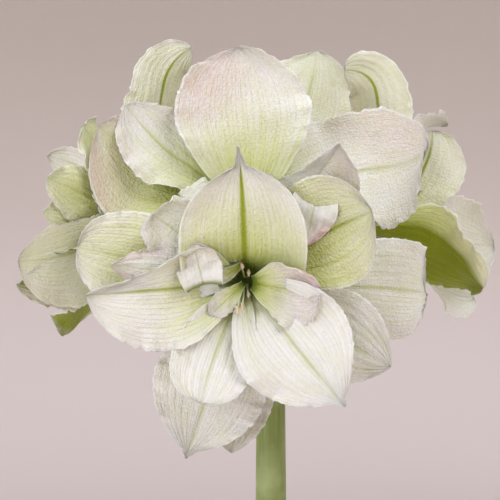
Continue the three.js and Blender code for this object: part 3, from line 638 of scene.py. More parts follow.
def spline_profile(pairs, steps):
    """A smooth curve through pairs, by Catmull-Rom."""
    p = np.array(pairs, float)
    p = np.vstack([2 * p[0] - p[1], p, 2 * p[-1] - p[-2]])
    out = []
    for a, b, c, d in zip(p, p[1:], p[2:], p[3:]):
        for t in np.linspace(0, 1, steps, endpoint=False):
            out.append(
                0.5
                * (
                    2 * b
                    + (c - a) * t
                    + (2 * a - 5 * b + 4 * c - d) * t * t
                    + (3 * b - a - 3 * c + d) * t ** 3
                )
            )
    return np.array(out + [p[-2]])


def place(name, mesh, materials, slot, *nodes):
    """Puts a finished mesh into the scene as a piece that rides on the body and stands for CAD nodes."""
    piece = bpy.data.objects.new(name, mesh)
    bpy.context.scene.collection.objects.link(piece)
    for material in materials:
        mesh.materials.append(material)
    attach(piece, BODY)
    if nodes:
        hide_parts(*nodes)
    return piece


# Materials


# Even values of the tepals' shader
TISSUE = {
    "Roughness": 0.5,
    "IOR": 1.4,
    "Specular IOR Level": 0.3,
    "Subsurface Weight": 0.35,
    "Subsurface Radius": (1.0, 0.95, 0.6),
    "Subsurface Scale": 0.0016,
    "Sheen Weight": 0.12,
    "Sheen Roughness": 0.4,
}


def new_material(name, even):
    """A material with one Principled shader whose even values are set on its own sockets."""
    material = bpy.data.materials.new(name)
    material.use_nodes = True
    tree = material.node_tree
    shader = tree.nodes["Principled BSDF"]
    for key, value in even.items():
        shader.inputs[key].default_value = value
    return material, tree, shader


def petal_material(look):
    """Fresh tepal tissue: soft, matt, slightly see-through, embossed in rows of cells between its veins."""
    material, tree, shader = new_material("Amaryllis tepal tissue", TISSUE)
    lie, tint, shade_and_seed, lay = (
        add(tree, "ShaderNodeAttribute", attribute_name=name, out=1)
        for name in ("lie", "tint", "shade_and_seed", "lay")
    )
    along, over, face = add(tree, SPLIT, lie, out=None).outputs
    green, blush, rib = add(tree, SPLIT, tint, out=None).outputs
    # Olive and quilt set how strongly shade is painted on the tepal, and quilt also sets its embossing; seed
    # varies its veins
    olive_shade, quilt, seed = add(tree, SPLIT, shade_and_seed, out=None).outputs
    aside = add(tree, MATH, over, operation="ABSOLUTE")

    # Cells stand 1.5 mm apart across and 2 mm along, in rows between the veins
    spread = add(tree, VECTOR_MATH, lay, (0.72, 0.5, 17.0), operation="MULTIPLY")
    cells = add(
        tree, "ShaderNodeTexVoronoi", feature="SMOOTH_F1",
        sockets={"Vector": spread, "Scale": 1.0, "Smoothness": 0.35, "Randomness": 0.62},
    )
    # This mask marks the grooves between the cells, where shade is painted into the colour and pink gathers
    groove_shade = add(tree, MATH, cells, 1.5, operation="MULTIPLY", use_clamp=True)
    embossed = add(tree, MATH, groove_shade, quilt, operation="MULTIPLY")

    # Veins run lengthwise, so their noise is stretched along the tepal and differs from one to the next
    drawn = add(tree, VECTOR_MATH, lie, (1.6, 13.0, 3.0), operation="MULTIPLY")
    shifted = add(tree, "ShaderNodeCombineXYZ", seed, seed, seed)
    drawn = add(tree, VECTOR_MATH, shifted, (9.0, 31.0, 7.0), drawn, operation="MULTIPLY_ADD")
    streak = add(tree, NOISE, sockets={"Vector": drawn, "Scale": 1.0, "Detail": 3.0, "Roughness": 0.6})
    sway = add(tree, MATH, streak, 6.0, operation="MULTIPLY")
    bent = add(tree, MATH, over, 40.0, sway, operation="MULTIPLY_ADD")
    line = add(tree, MATH, add(tree, MATH, bent, operation="SINE"), operation="ABSOLUTE")

    # Clouds are about 16 mm across and speckles 3 mm
    cloud = add(tree, NOISE, sockets={"Vector": lay, "Scale": 0.06, "Detail": 2.0, "Roughness": 0.5})
    speckle = add(tree, NOISE, sockets={"Vector": lay, "Scale": 0.35, "Detail": 3.0, "Roughness": 0.6})

    # The throat's green reaches up the tepal in streaks, furthest along its middle
    uneven = add(tree, MATH, streak, 0.5, operation="SUBTRACT")
    reach = add(tree, MATH, along, green, operation="DIVIDE")
    for value, share in ((uneven, 0.55), (aside, 0.22)):
        reach = add(tree, MATH, value, share, reach, operation="MULTIPLY_ADD")
    # The painted olive shade is centred a little to one side of the midrib
    lean = add(tree, MATH, add(tree, MATH, over, 0.35), operation="ABSOLUTE")

    # Each fade is a smooth step of a value, from one bound to the other, between two strengths
    fades = {
        "vein": (line, 0.0, 0.42, 1.0, 0.0),
        "veined": (along, 0.04, 0.3, 0.0, 1.0),
        "cloud": (cloud, 0.35, 0.7, 0.0, 1.0),
        "yellow": (reach, 0.25, 1.15, 0.85, 0.0),
        "acid": (reach, 0.12, 0.6, 0.8, 0.0),
        "throat": (along, 0.05, 0.22, 0.92, 0.0),
        "speckle": (speckle, 0.25, 0.75, 0.35, 1.0),
        "spine": (aside, 0.0, 0.075, 1.0, 0.0),
        "spine end": (along, 0.7, 1.0, 1.0, 0.35),
        "olive side": (lean, 0.2, 1.0, 1.0, 0.0),
        "olive end": (along, 0.55, 1.0, 1.0, 0.25),
        "margin": (aside, 0.93, 1.0, 0.0, 0.65),
    }
    for name, values in fades.items():
        fades[name] = add(tree, MAP_RANGE, *values, interpolation_type="SMOOTHSTEP")

    # Pink gathers in the grooves between the cells, and the olive, partly the tepal's own green and partly
    # painted shade, lies mostly on the outer face
    pinkest = add(tree, MATH, groove_shade, 0.6, 0.35, operation="MULTIPLY_ADD")
    outer = add(tree, MATH, face, 0.75, 0.2, operation="MULTIPLY_ADD")
    vein = add(tree, MATH, fades["vein"], fades["veined"], operation="MULTIPLY")
    factors = []
    for parts in (
        (blush, fades["speckle"], pinkest),
        (fades["spine"], fades["spine end"], rib),
        (olive_shade, fades["olive side"], fades["olive end"], outer),
    ):
        factor = parts[0]
        for part in parts[1:]:
            factor = add(tree, MATH, factor, part, operation="MULTIPLY")
        factor.node.use_clamp = True
        factors.append(factor)
    flush, spine, cast = factors

    colour = look.milk
    for value, share, tone in (
        (fades["cloud"], 1.0, look.cream),
        (face, 0.35, look.pale_green),
        (vein, 0.36, look.pale_green),
        # Painted shade: a grey beige laid in the grooves between the embossed cells
        (embossed, 0.34, look.groove_shade),
        (fades["yellow"], 1.0, look.chartreuse),
        (fades["acid"], 1.0, look.acid_green),
        (fades["throat"], 1.0, look.throat_green),
        (flush, 0.75, look.blush),
        (spine, 1.0, look.rib_green),
        # Olive over the outer face: partly the tepal's own green, partly painted shade, strongest from the
        # foot to the middle
        (cast, 1.0, look.olive_shade),
        (fades["margin"], 1.0, look.edge_white),
    ):
        factor = value if share == 1.0 else add(tree, MATH, value, share, operation="MULTIPLY")
        colour = add(
            tree, MIX, factor, sockets={MIX_A: colour, MIX_B: tone}, out=MIX_RESULT, data_type="RGBA",
        )
    tree.links.new(colour, shader.inputs["Base Color"])

    height = add(tree, MATH, embossed, -1.0, operation="MULTIPLY")
    for value, share in ((vein, -0.35), (streak, 0.8), (cloud, 1.5), (speckle, 1.2)):
        height = add(tree, MATH, value, share, height, operation="MULTIPLY_ADD")
    normal = add(tree, "ShaderNodeBump", sockets={"Strength": 0.9, "Distance": 0.0007, "Height": height})
    tree.links.new(normal, shader.inputs["Normal"])
    return material


def streaked_material(name, base, other, third, stretch, roughness, bump, even=None):
    """A plant skin or a fibre, its colours drawn out in streaks along Z or along its own length.

    stretch is how many streaks lie in a metre along each axis: 700 makes one about 1.5 mm wide.
    """
    material, tree, shader = new_material(name, even or {})
    place_of = add(tree, "ShaderNodeTexCoord", out=3)
    drawn = add(tree, "ShaderNodeMapping", place_of, sockets={3: stretch})
    fine = add(tree, NOISE, sockets={"Vector": drawn, "Scale": 1.0, "Detail": 5.0, "Roughness": 0.6})
    patch = add(tree, NOISE, sockets={"Vector": place_of, "Scale": 38.0, "Detail": 3.0})
    colour = base
    for value, low, high, tone in ((fine, 0.3, 0.7, other), (patch, 0.45, 0.75, third)):
        factor = add(tree, MAP_RANGE, value, low, high)
        colour = add(
            tree, MIX, factor, sockets={MIX_A: colour, MIX_B: tone}, out=MIX_RESULT, data_type="RGBA",
        )
    tree.links.new(colour, shader.inputs["Base Color"])
    rough = add(tree, MAP_RANGE, patch, 0.2, 0.8, roughness - 0.08, roughness + 0.08)
    tree.links.new(rough, shader.inputs["Roughness"])
    normal = add(tree, "ShaderNodeBump", sockets={"Strength": 0.7, "Distance": bump, "Height": fine})
    tree.links.new(normal, shader.inputs["Normal"])
    return material


def leaf_material(look):
    """Strap leaf: a waxy cuticle over parallel veins, paler at its foot and on its back."""
    even = {"Specular IOR Level": 0.5, "Subsurface Weight": 0.1, "Subsurface Scale": 0.002}
    material, tree, shader = new_material("Strap leaf blade", even)
    lie = add(tree, "ShaderNodeAttribute", attribute_name="lie", out=1)
    along, over, face = add(tree, SPLIT, lie, out=None).outputs
    drawn = add(tree, VECTOR_MATH, lie, (3.0, 22.0, 5.0), operation="MULTIPLY")
    fibre = add(tree, NOISE, sockets={"Vector": drawn, "Scale": 1.0, "Detail": 4.0, "Roughness": 0.6})

    # A vein every 1.5 mm or so across the blade
    wave = add(tree, MATH, over, 44.0, operation="MULTIPLY")
    for operation in ("SINE", "ABSOLUTE"):
        wave = add(tree, MATH, wave, operation=operation)
    patch = add(tree, MAP_RANGE, fibre, 0.42, 0.72, 0.0, 0.6)
    foot = add(tree, MAP_RANGE, along, 0.0, 0.3, 0.8, 0.0, interpolation_type="SMOOTHSTEP")
    back = add(tree, MATH, face, 0.3, operation="MULTIPLY")
    dry = add(tree, MAP_RANGE, along, 0.975, 1.0, 0.0, 0.85, interpolation_type="SMOOTHSTEP")
    colour = look.dark
    for factor, tone in (
        (wave, look.green),
        (patch, look.light),
        (foot, linear("#B9C58A")),
        (back, look.light),
        (dry, linear("#9A7B45")),
    ):
        colour = add(
            tree, MIX, factor, sockets={MIX_A: colour, MIX_B: tone}, out=MIX_RESULT, data_type="RGBA",
        )
    tree.links.new(colour, shader.inputs["Base Color"])
    tree.links.new(add(tree, MAP_RANGE, fibre, 0.2, 0.8, 0.3, 0.5), shader.inputs["Roughness"])
    height = add(tree, MATH, wave, fibre)
    normal = add(tree, "ShaderNodeBump", sockets={"Strength": 0.6, "Distance": 0.0004, "Height": height})
    tree.links.new(normal, shader.inputs["Normal"])
    return material


def glaze_material(look):
    """Stoneware glaze: a clear glassy skin over a pale body, thinner and warmer near the foot and rim."""
    material, tree, shader = new_material(
        "Glazed stoneware", {"IOR": 1.52, "Coat Weight": 0.4, "Coat Roughness": 0.12},
    )
    spot = add(tree, "ShaderNodeTexCoord", out=3)
    height = add(tree, SPLIT, spot, out=2)

    # Clouds of about 40 mm and specks of iron of about 1.5 mm
    cloud = add(tree, NOISE, sockets={"Vector": spot, "Scale": 26.0, "Detail": 4.0})
    fleck = add(tree, NOISE, sockets={"Vector": spot, "Scale": 620.0, "Detail": 1.0})
    colour = look.glaze
    for value, low, high, start, end, blend, tone in (
        (cloud, 0.4, 0.75, 0.0, 0.55, "LINEAR", linear("#DAD3C3")),
        (height, 0.1335, 0.136, 0.0, 0.75, "SMOOTHSTEP", look.thin),
        (height, 0.001, 0.006, 0.85, 0.0, "SMOOTHSTEP", linear("#B7A184")),
        (fleck, 0.69, 0.74, 0.0, 0.55, "LINEAR", linear("#8C7353")),
    ):
        factor = add(tree, MAP_RANGE, value, low, high, start, end, interpolation_type=blend)
        colour = add(
            tree, MIX, factor, sockets={MIX_A: colour, MIX_B: tone}, out=MIX_RESULT, data_type="RGBA",
        )
    tree.links.new(colour, shader.inputs["Base Color"])
    tree.links.new(add(tree, MAP_RANGE, cloud, 0.3, 0.7, 0.22, 0.34), shader.inputs["Roughness"])
    normal = add(tree, "ShaderNodeBump", sockets={"Strength": 0.35, "Distance": 0.0006, "Height": cloud})
    tree.links.new(normal, shader.inputs["Normal"])
    return material


# Geometry Nodes


def new_tree(name, sockets):
    """An empty geometry tree with a geometry input and output and the named inputs."""
    tree = bpy.data.node_groups.new(name, "GeometryNodeTree")
    tree.interface.new_socket("Geometry", in_out="INPUT", socket_type="NodeSocketGeometry")
    tree.interface.new_socket("Geometry", in_out="OUTPUT", socket_type="NodeSocketGeometry")
    for label, kind in sockets.items():
        tree.interface.new_socket(label, in_out="INPUT", socket_type=kind)
    return tree, add(tree, "NodeGroupInput", out=None).outputs


def grow(mesh, tree, inputs):
    """The plain mesh that a geometry tree makes from a mesh."""
    seed = bpy.data.objects.new("growing", mesh)
    bpy.context.scene.collection.objects.link(seed)
    modifier = seed.modifiers.new("grow", "NODES")
    modifier.node_group = tree
    for item in tree.interface.items_tree:
        if item.item_type == "SOCKET" and item.in_out == "INPUT" and item.name in inputs:
            modifier[item.identifier] = inputs[item.name]
    graph = bpy.context.evaluated_depsgraph_get()
    made = bpy.data.meshes.new_from_object(seed.evaluated_get(graph), depsgraph=graph)
    bpy.data.objects.remove(seed)
    used = [k for k, material in enumerate(made.materials) if material is not None]
    kinds = np.empty(len(made.polygons), np.int32)
    made.polygons.foreach_get("material_index", kinds)
    kinds = np.array([used.index(k) if k in used else 0 for k in kinds], np.int32)
    kept = [made.materials[k] for k in used]
    made.materials.clear()
    for material in kept:
        made.materials.append(material)
    made.polygons.foreach_set("material_index", kinds)
    return made


def turned_tree(material):
    """Turns a profile, held as x for radius, z for height and y where throwing rings show, about Z."""
    tree, given = new_tree(
        "Turned ware",
        {"Sides": "NodeSocketInt", "Ring depth": "NodeSocketFloat", "Ring spacing": "NodeSocketFloat"},
    )
    count = add(tree, "GeometryNodeAttributeDomainSize", given["Geometry"], component="MESH")
    columns = add(tree, MATH, given["Sides"], 1.0)
    sheet = add(tree, "GeometryNodeMeshGrid", 1.0, 1.0, columns, count)
    x, y, _ = add(tree, SPLIT, add(tree, "GeometryNodeInputPosition"), out=None).outputs
    angle = add(tree, MATH, x, math.tau, math.pi, operation="MULTIPLY_ADD")
    last = add(tree, MATH, count, 1.0, operation="SUBTRACT")
    row = add(tree, MATH, add(tree, MATH, y, 0.5), last, operation="MULTIPLY")
    row = add(tree, MATH, row, operation="ROUND")
    found = add(
        tree,
        "GeometryNodeSampleIndex",
        given["Geometry"],
        add(tree, "GeometryNodeInputPosition"),
        row,
        data_type="FLOAT_VECTOR",
        domain="POINT",
    )
    radius, rings, height = add(tree, SPLIT, found, out=None).outputs
    phase = add(tree, MATH, height, given["Ring spacing"], operation="DIVIDE")
    phase = add(tree, MATH, phase, math.tau, angle, operation="MULTIPLY_ADD")
    swell = add(tree, MATH, phase, operation="SINE")
    swell = add(tree, MATH, swell, given["Ring depth"], operation="MULTIPLY")
    swell = add(tree, MATH, swell, rings, operation="MULTIPLY")
    radius = add(tree, MATH, radius, swell)
    east = add(tree, MATH, radius, add(tree, MATH, angle, operation="COSINE"), operation="MULTIPLY")
    north = add(tree, MATH, radius, add(tree, MATH, angle, operation="SINE"), operation="MULTIPLY")
    spot = add(tree, "ShaderNodeCombineXYZ", east, north, height)
    body = add(tree, "GeometryNodeSetPosition", sockets={"Geometry": sheet, "Position": spot})
    body = add(tree, "GeometryNodeMergeByDistance", sockets={"Geometry": body, "Distance": 1e-06})
    body = add(tree, "GeometryNodeSetShadeSmooth", sockets={"Geometry": body, "Shade Smooth": True})
    body = add(tree, "GeometryNodeSetMaterial", sockets={"Geometry": body, "Material": material})
    add(tree, "NodeGroupOutput", body, out=None)
    return tree


def crumb_tree(peat, bark):
    """Strews crumbs and chips over the upper faces of the potting mix."""
    tree, given = new_tree(
        "Potting mix crumbs",
        {"Crumb size": "NodeSocketFloat", "Density": "NodeSocketFloat", "Lowest": "NodeSocketFloat"},
    )
    _, _, height = add(tree, SPLIT, add(tree, "GeometryNodeInputPosition"), out=None).outputs
    _, _, lift = add(tree, SPLIT, add(tree, "GeometryNodeInputNormal"), out=None).outputs
    high = add(
        tree, "FunctionNodeCompare", height, given["Lowest"], data_type="FLOAT", operation="GREATER_THAN",
    )
    flat = add(tree, "FunctionNodeCompare", lift, 0.6, data_type="FLOAT", operation="GREATER_THAN")
    chosen = add(tree, "FunctionNodeBooleanMath", high, flat, operation="AND")
    spots = add(
        tree,
        "GeometryNodeDistributePointsOnFaces",
        sockets={"Mesh": given["Geometry"], "Selection": chosen, "Density": given["Density"], "Seed": 7},
        distribute_method="RANDOM",
    )
    half = add(tree, MATH, given["Crumb size"], 0.5, operation="MULTIPLY")
    grain = add(tree, "GeometryNodeMeshIcoSphere", sockets={"Radius": half, "Subdivisions": 1})
    sides = add(
        tree, VECTOR_MATH, (1.7, 0.9, 0.45), sockets={"Scale": given["Crumb size"]}, operation="SCALE",
    )
    chip = add(tree, "GeometryNodeMeshCube", sockets={"Size": sides, 1: 3, 2: 2, 3: 2})
    shapes = []
    for shape, material in ((grain, peat), (chip, bark)):
        rough = add(tree, NOISE, sockets={"Scale": 900.0, "Detail": 1.0}, out=1, noise_dimensions="3D")
        push = add(tree, VECTOR_MATH, rough, (0.5, 0.5, 0.5), operation="SUBTRACT")
        push = add(tree, VECTOR_MATH, push, sockets={"Scale": given["Crumb size"]}, operation="SCALE")
        shape = add(tree, "GeometryNodeSetPosition", sockets={"Geometry": shape, "Offset": push})
        shape = add(tree, "GeometryNodeSetMaterial", sockets={"Geometry": shape, "Material": material})
        shapes.append(add(tree, "GeometryNodeGeometryToInstance", shape))
    both = add(tree, "GeometryNodeJoinGeometry", out=None)
    for shape in reversed(shapes):
        tree.links.new(shape, both.inputs[0])
    turn = add(
        tree,
        "FunctionNodeRandomValue",
        (0.0, 0.0, 0.0),
        (6.28, 6.28, 6.28),
        sockets={"Seed": 3},
        data_type="FLOAT_VECTOR",
    )
    size = add(
        tree, "FunctionNodeRandomValue", sockets={2: 0.35, 3: 1.25, "Seed": 5}, out=1, data_type="FLOAT",
    )
    which = add(tree, "FunctionNodeRandomValue", sockets={4: 0, 5: 1, "Seed": 9}, out=2, data_type="INT")
    strewn = add(
        tree,
        "GeometryNodeInstanceOnPoints",
        sockets={
            "Points": spots,
            "Instance": both.outputs[0],
            "Pick Instance": True,
            "Instance Index": which,
            "Rotation": turn,
            "Scale": size,
        },
    )
    strewn = add(tree, "GeometryNodeRealizeInstances", strewn)
    whole = add(tree, "GeometryNodeJoinGeometry", out=None)
    tree.links.new(strewn, whole.inputs[0])
    tree.links.new(given["Geometry"], whole.inputs[0])
    add(tree, "NodeGroupOutput", whole.outputs[0], out=None)
    return tree


def stamen_tree(thread, pollen):
    """Draws a tapering filament along each path and sets an anther on its end."""
    tree, given = new_tree(
        "Stamens", {"Filament radius": "NodeSocketFloat", "Anther length": "NodeSocketFloat"},
    )
    curve = add(tree, "GeometryNodeMeshToCurve", given["Geometry"])
    share = add(tree, "GeometryNodeSplineParameter")
    taper = add(tree, MAP_RANGE, share, sockets={3: 1.0, 4: 0.55})
    radius = add(tree, MATH, taper, given["Filament radius"], operation="MULTIPLY")
    ring = add(tree, "GeometryNodeCurvePrimitiveCircle", sockets={"Resolution": 10, "Radius": 1.0})
    body = add(tree, "GeometryNodeSetCurveRadius", sockets={"Curve": curve, "Radius": radius})
    body = add(
        tree,
        "GeometryNodeCurveToMesh",
        sockets={"Curve": body, "Profile Curve": ring, "Fill Caps": True, "Scale": radius},
    )
    body = add(tree, "GeometryNodeSetMaterial", sockets={"Geometry": body, "Material": thread})
    anther = add(tree, "GeometryNodeMeshUVSphere", sockets={"Segments": 12, "Rings": 8, "Radius": 0.5})
    ends = add(tree, "GeometryNodeCurveEndpointSelection", 0, 1)
    tilt = add(
        tree,
        "FunctionNodeAlignRotationToVector",
        sockets={"Vector": add(tree, "GeometryNodeInputTangent")},
        axis="Z",
    )
    across = add(tree, "FunctionNodeRotateRotation", tilt, (1.25, 0.3, 0.0), rotation_space="LOCAL")
    slim = add(
        tree, VECTOR_MATH, (0.3, 0.3, 1.0), sockets={"Scale": given["Anther length"]}, operation="SCALE",
    )
    heads = add(
        tree,
        "GeometryNodeInstanceOnPoints",
        sockets={"Points": curve, "Selection": ends, "Instance": anther, "Rotation": across, "Scale": slim},
    )
    heads = add(tree, "GeometryNodeRealizeInstances", heads)
    spot = add(tree, "GeometryNodeInputPosition")
    lump = add(
        tree, NOISE, sockets={"Vector": spot, "Scale": 420.0, "Detail": 1.0}, out=1, noise_dimensions="3D",
    )
    lump = add(tree, VECTOR_MATH, lump, (0.5, 0.5, 0.5), operation="SUBTRACT")
    lump = add(tree, VECTOR_MATH, lump, sockets={"Scale": 0.003}, operation="SCALE")
    heads = add(tree, "GeometryNodeSetPosition", sockets={"Geometry": heads, "Offset": lump})
    heads = add(tree, "GeometryNodeSetMaterial", sockets={"Geometry": heads, "Material": pollen})
    whole = add(tree, "GeometryNodeJoinGeometry", out=None)
    tree.links.new(heads, whole.inputs[0])
    tree.links.new(body, whole.inputs[0])
    smooth_all = add(
        tree, "GeometryNodeSetShadeSmooth", sockets={"Geometry": whole.outputs[0], "Shade Smooth": True},
    )
    add(tree, "NodeGroupOutput", smooth_all, out=None)
    return tree


def outward(mesh):
    """Turns the faces of a closed mesh outwards."""
    shape = bmesh.new()
    shape.from_mesh(mesh)
    bmesh.ops.recalc_face_normals(shape, faces=shape.faces)
    shape.to_mesh(mesh)
    shape.free()


# Settings


def colour_property(name, text, description):
    """A colour setting with an sRGB hex default."""
    return bpy.props.FloatVectorProperty(
        name=name, description=description, subtype="COLOR", size=4, min=0, max=1, default=linear(text)
    )


def length_property(name, millimetres, description):
    """A length setting with a default in millimetres."""
    return bpy.props.FloatProperty(
        name=name, description=description, unit="LENGTH", min=0, default=millimetres * MM
    )


class BloomSettings(bpy.types.PropertyGroup):
    thickness: length_property("Petal thickness", 0.6, "Thickness of a petal away from its edge")
    milk: colour_property("Milk white", "#F6F4EF", "Colour of the open blade")
    cream: colour_property("Cream", "#F1F0E2", "Warmer white in clouds over the blade")
    pale_green: colour_property("Pale green", "#DCE2A8", "Colour of the fine veins and the outer face")
    # Painted shade laid in the grooves between the embossed cells
    groove_shade: colour_property("Groove", "#C4BDA6", "Colour of the grooves between the embossed cells")
    chartreuse: colour_property("Chartreuse", "#CBD26A", "Yellow green that fades out of the throat")
    acid_green: colour_property("Acid green", "#9DAB22", "Green nearer the throat")
    throat_green: colour_property("Throat green", "#74892A", "Green of the throat itself")
    rib_green: colour_property("Midrib green", "#9BA62E", "Colour of the midrib")
    # Olive is partly the outer tepals' own green and partly painted shade
    olive_shade: colour_property("Olive", "#8C9618", "Green cast over the outer tepals")
    blush: colour_property("Blush", "#D79BA3", "Pink at the tips and margins")
    edge_white: colour_property("Edge white", "#F8F6EF", "Colour of the thin ruffled margin")


class StalkSettings(bpy.types.PropertyGroup):
    sides: bpy.props.IntProperty(name="Sides", description="Faces round the stalk", default=48, min=12)
    green: colour_property("Stalk green", "#8E9A58", "Colour of the stalk's skin")
    dark: colour_property("Stalk shade", "#76843F", "Darker streaks of the stalk's skin")
    bloom: colour_property("Waxy bloom", "#A5AE78", "Pale waxy bloom on the skin")


class StamenSettings(bpy.types.PropertyGroup):
    thickness: length_property("Filament thickness", 1.5, "Thickness of a filament at its foot")
    anther: length_property("Anther length", 6.5, "Length of an anther")
    filament: colour_property("Filament", "#D8DFA6", "Colour of the filaments")
    pollen: colour_property("Pollen", "#E6CDB4", "Colour of the anthers")


class FoliageSettings(bpy.types.PropertyGroup):
    thickness: length_property("Leaf thickness", 1.8, "Thickness of a leaf blade")
    bract_thickness: length_property("Bract thickness", 0.5, "Thickness of the papery bracts")
    green: colour_property("Leaf green", "#4E7434", "Colour of the leaf blade")
    dark: colour_property("Leaf shade", "#3C5F28", "Darker streaks between the veins")
    light: colour_property("Leaf light", "#7E9A52", "Paler green in patches")
    paper: colour_property("Dry bract", "#B9A27C", "Colour of the withered bracts")


class BulbSettings(bpy.types.PropertyGroup):
    sides: bpy.props.IntProperty(name="Sides", description="Faces round the bulb", default=144, min=24)
    tunic: colour_property("Tunic brown", "#7D5231", "Colour of the papery outer scales")
    pale: colour_property("Tunic tan", "#B98E60", "Paler fibres of the scales")
    dark: colour_property("Tunic dark", "#4B2E1B", "Dark patches of the scales")


class PotSettings(bpy.types.PropertyGroup):
    sides: bpy.props.IntProperty(name="Sides", description="Faces round the pot", default=160, min=24)
    ring_depth: length_property("Throwing ring depth", 0.12, "How deep the rings of throwing are")
    glaze: colour_property("Glaze", "#E6E1D6", "Colour of the glaze")
    thin: colour_property("Thin glaze", "#C9BCA4", "Warmer colour where the glaze runs thin")


class MixSettings(bpy.types.PropertyGroup):
    crumb: length_property("Crumb size", 2.6, "Usual size of a crumb of the mix")
    density: bpy.props.FloatProperty(
        name="Crumbs per square metre",
        description="How many crumbs lie on the surface", default=150000, min=0
    )
    peat: colour_property("Peat", "#2B1D14", "Colour of the damp peat")
    bark: colour_property("Bark", "#5E3F28", "Colour of the bark chips")


class StageSettings(bpy.types.PropertyGroup):
    radius: bpy.props.FloatProperty(
        name="Studio radius", description="How far the wall stands", default=3.4, min=1, unit="LENGTH"
    )
    wall: colour_property("Wall low", "#E9DDDB", "Wall and floor, low down")
    # Painted shade: a darker wall colour laid over the upper wall
    wall_high_shade: colour_property("Wall high", "#C9BDB5", "Wall in the upper half of the picture")
    lens: bpy.props.FloatProperty(
        name="Lens", description="Focal length of the camera in millimetres", default=117.7, min=10
    )


# Operators


class AMARYLLIS_OT_add_blooms(bpy.types.Operator):
    """Adds the five double blooms with their throats"""

    bl_idname = "amaryllis.add_blooms"
    bl_label = "Add Blooms"

    def execute(self, context):
        look = context.scene.amaryllis_blooms
        tissue = petal_material(look)
        for number, (name, flower) in enumerate(FLOWERS.items()):
            sheaf = Sheaf()
            axes = axes_of(flower["axis"])
            planes = (
                [(plane, -1) for plane in flower["before"]]
                + [(plane, 1) for plane in flower["behind"]]
            )
            for k, line in enumerate(flower["petals"]):
                petal = dict(PETAL, **line)
                along, across = SMALL_GRID if petal["length"] < SMALL_LENGTH else PETAL_GRID
                seed = SEEDS_PER_FLOWER * number + k
                origin = petal.get("at", flower["at"])
                rows, u, v = blade_rows(axes, origin, petal, along, across, seed, planes=planes)
                points, faces = blade_shell(rows, look.thickness / MM)
                sheaf.take(points, faces, **petal_values(petal, u, v, seed * GOLDEN_SHARE % 1))
            self.add_throat(sheaf, flower, axes)
            piece = f"bloom_{name}_petals"
            place(piece, sheaf.mesh(piece), [tissue], "petal", f"bloom_{name}")
        return {"FINISHED"}

    def add_throat(self, sheaf, flower, axes):
        """The short green tube from which the tepals leave."""
        forward, upward, side = axes
        points, faces = turned_points(spline_profile(THROAT_PROFILE, 5), THROAT_SIDES)
        points = np.array(flower["at"], float) + points @ np.array([side, upward, forward])
        values = {"lie": (0.02, 0.3, 1), "tint": (0.9, 0, 0), "shade_and_seed": (0, 0, 0.5), "lay": (0, 0, 0)}
        values = {name: np.tile(value, (len(points), 1)) for name, value in values.items()}
        sheaf.take(points, [face[::-1] for face in faces], **values)


class AMARYLLIS_OT_add_stamens(bpy.types.Operator):
    """Adds the filaments with their anthers in each throat"""

    bl_idname = "amaryllis.add_stamens"
    bl_label = "Add Stamens"

    def execute(self, context):
        look = context.scene.amaryllis_stamens
        thread = streaked_material(
            "Amaryllis filament",
            look.filament,
            linear("#C3CE80"),
            linear("#EDEFD0"),
            (900, 900, 90),
            0.45,
            0.0002,
        )
        pollen = streaked_material(
            "Powdery anther",
            look.pollen,
            linear("#D9B79A"),
            linear("#F0E3CB"),
            (1500, 1500, 1500),
            0.8,
            0.0003,
        )
        tree = stamen_tree(thread, pollen)
        for name, flower in FLOWERS.items():
            forward, upward, side = axes_of(flower["axis"])
            mesh = bpy.data.meshes.new("filament paths")
            points = []
            edges = []
            for line in STAMENS[name]:
                clock = math.radians(line[0] * 30)
                out = upward * math.cos(clock) + side * math.sin(clock)
                foot = np.array(flower["at"], float) + forward * 5 + out * 2.5
                reach, spread, sag, turn = line[1:]
                end = foot + forward * reach + out * spread - upward * sag
                path = bezier(
                    [
                        foot,
                        foot + forward * reach * 0.5,
                        end - forward * turn * 0.5 - upward * turn * 0.7,
                        end,
                    ],
                    STAMEN_STEPS,
                )
                first = len(points)
                points += list(path * MM)
                edges += [(first + k, first + k + 1) for k in range(STAMEN_STEPS)]
            mesh.from_pydata([tuple(p) for p in points], edges, [])
            grown = grow(mesh, tree, {"Filament radius": look.thickness / 2, "Anther length": look.anther})
            place(f"bloom_{name}_stamens", grown, [], "petal")
        return {"FINISHED"}


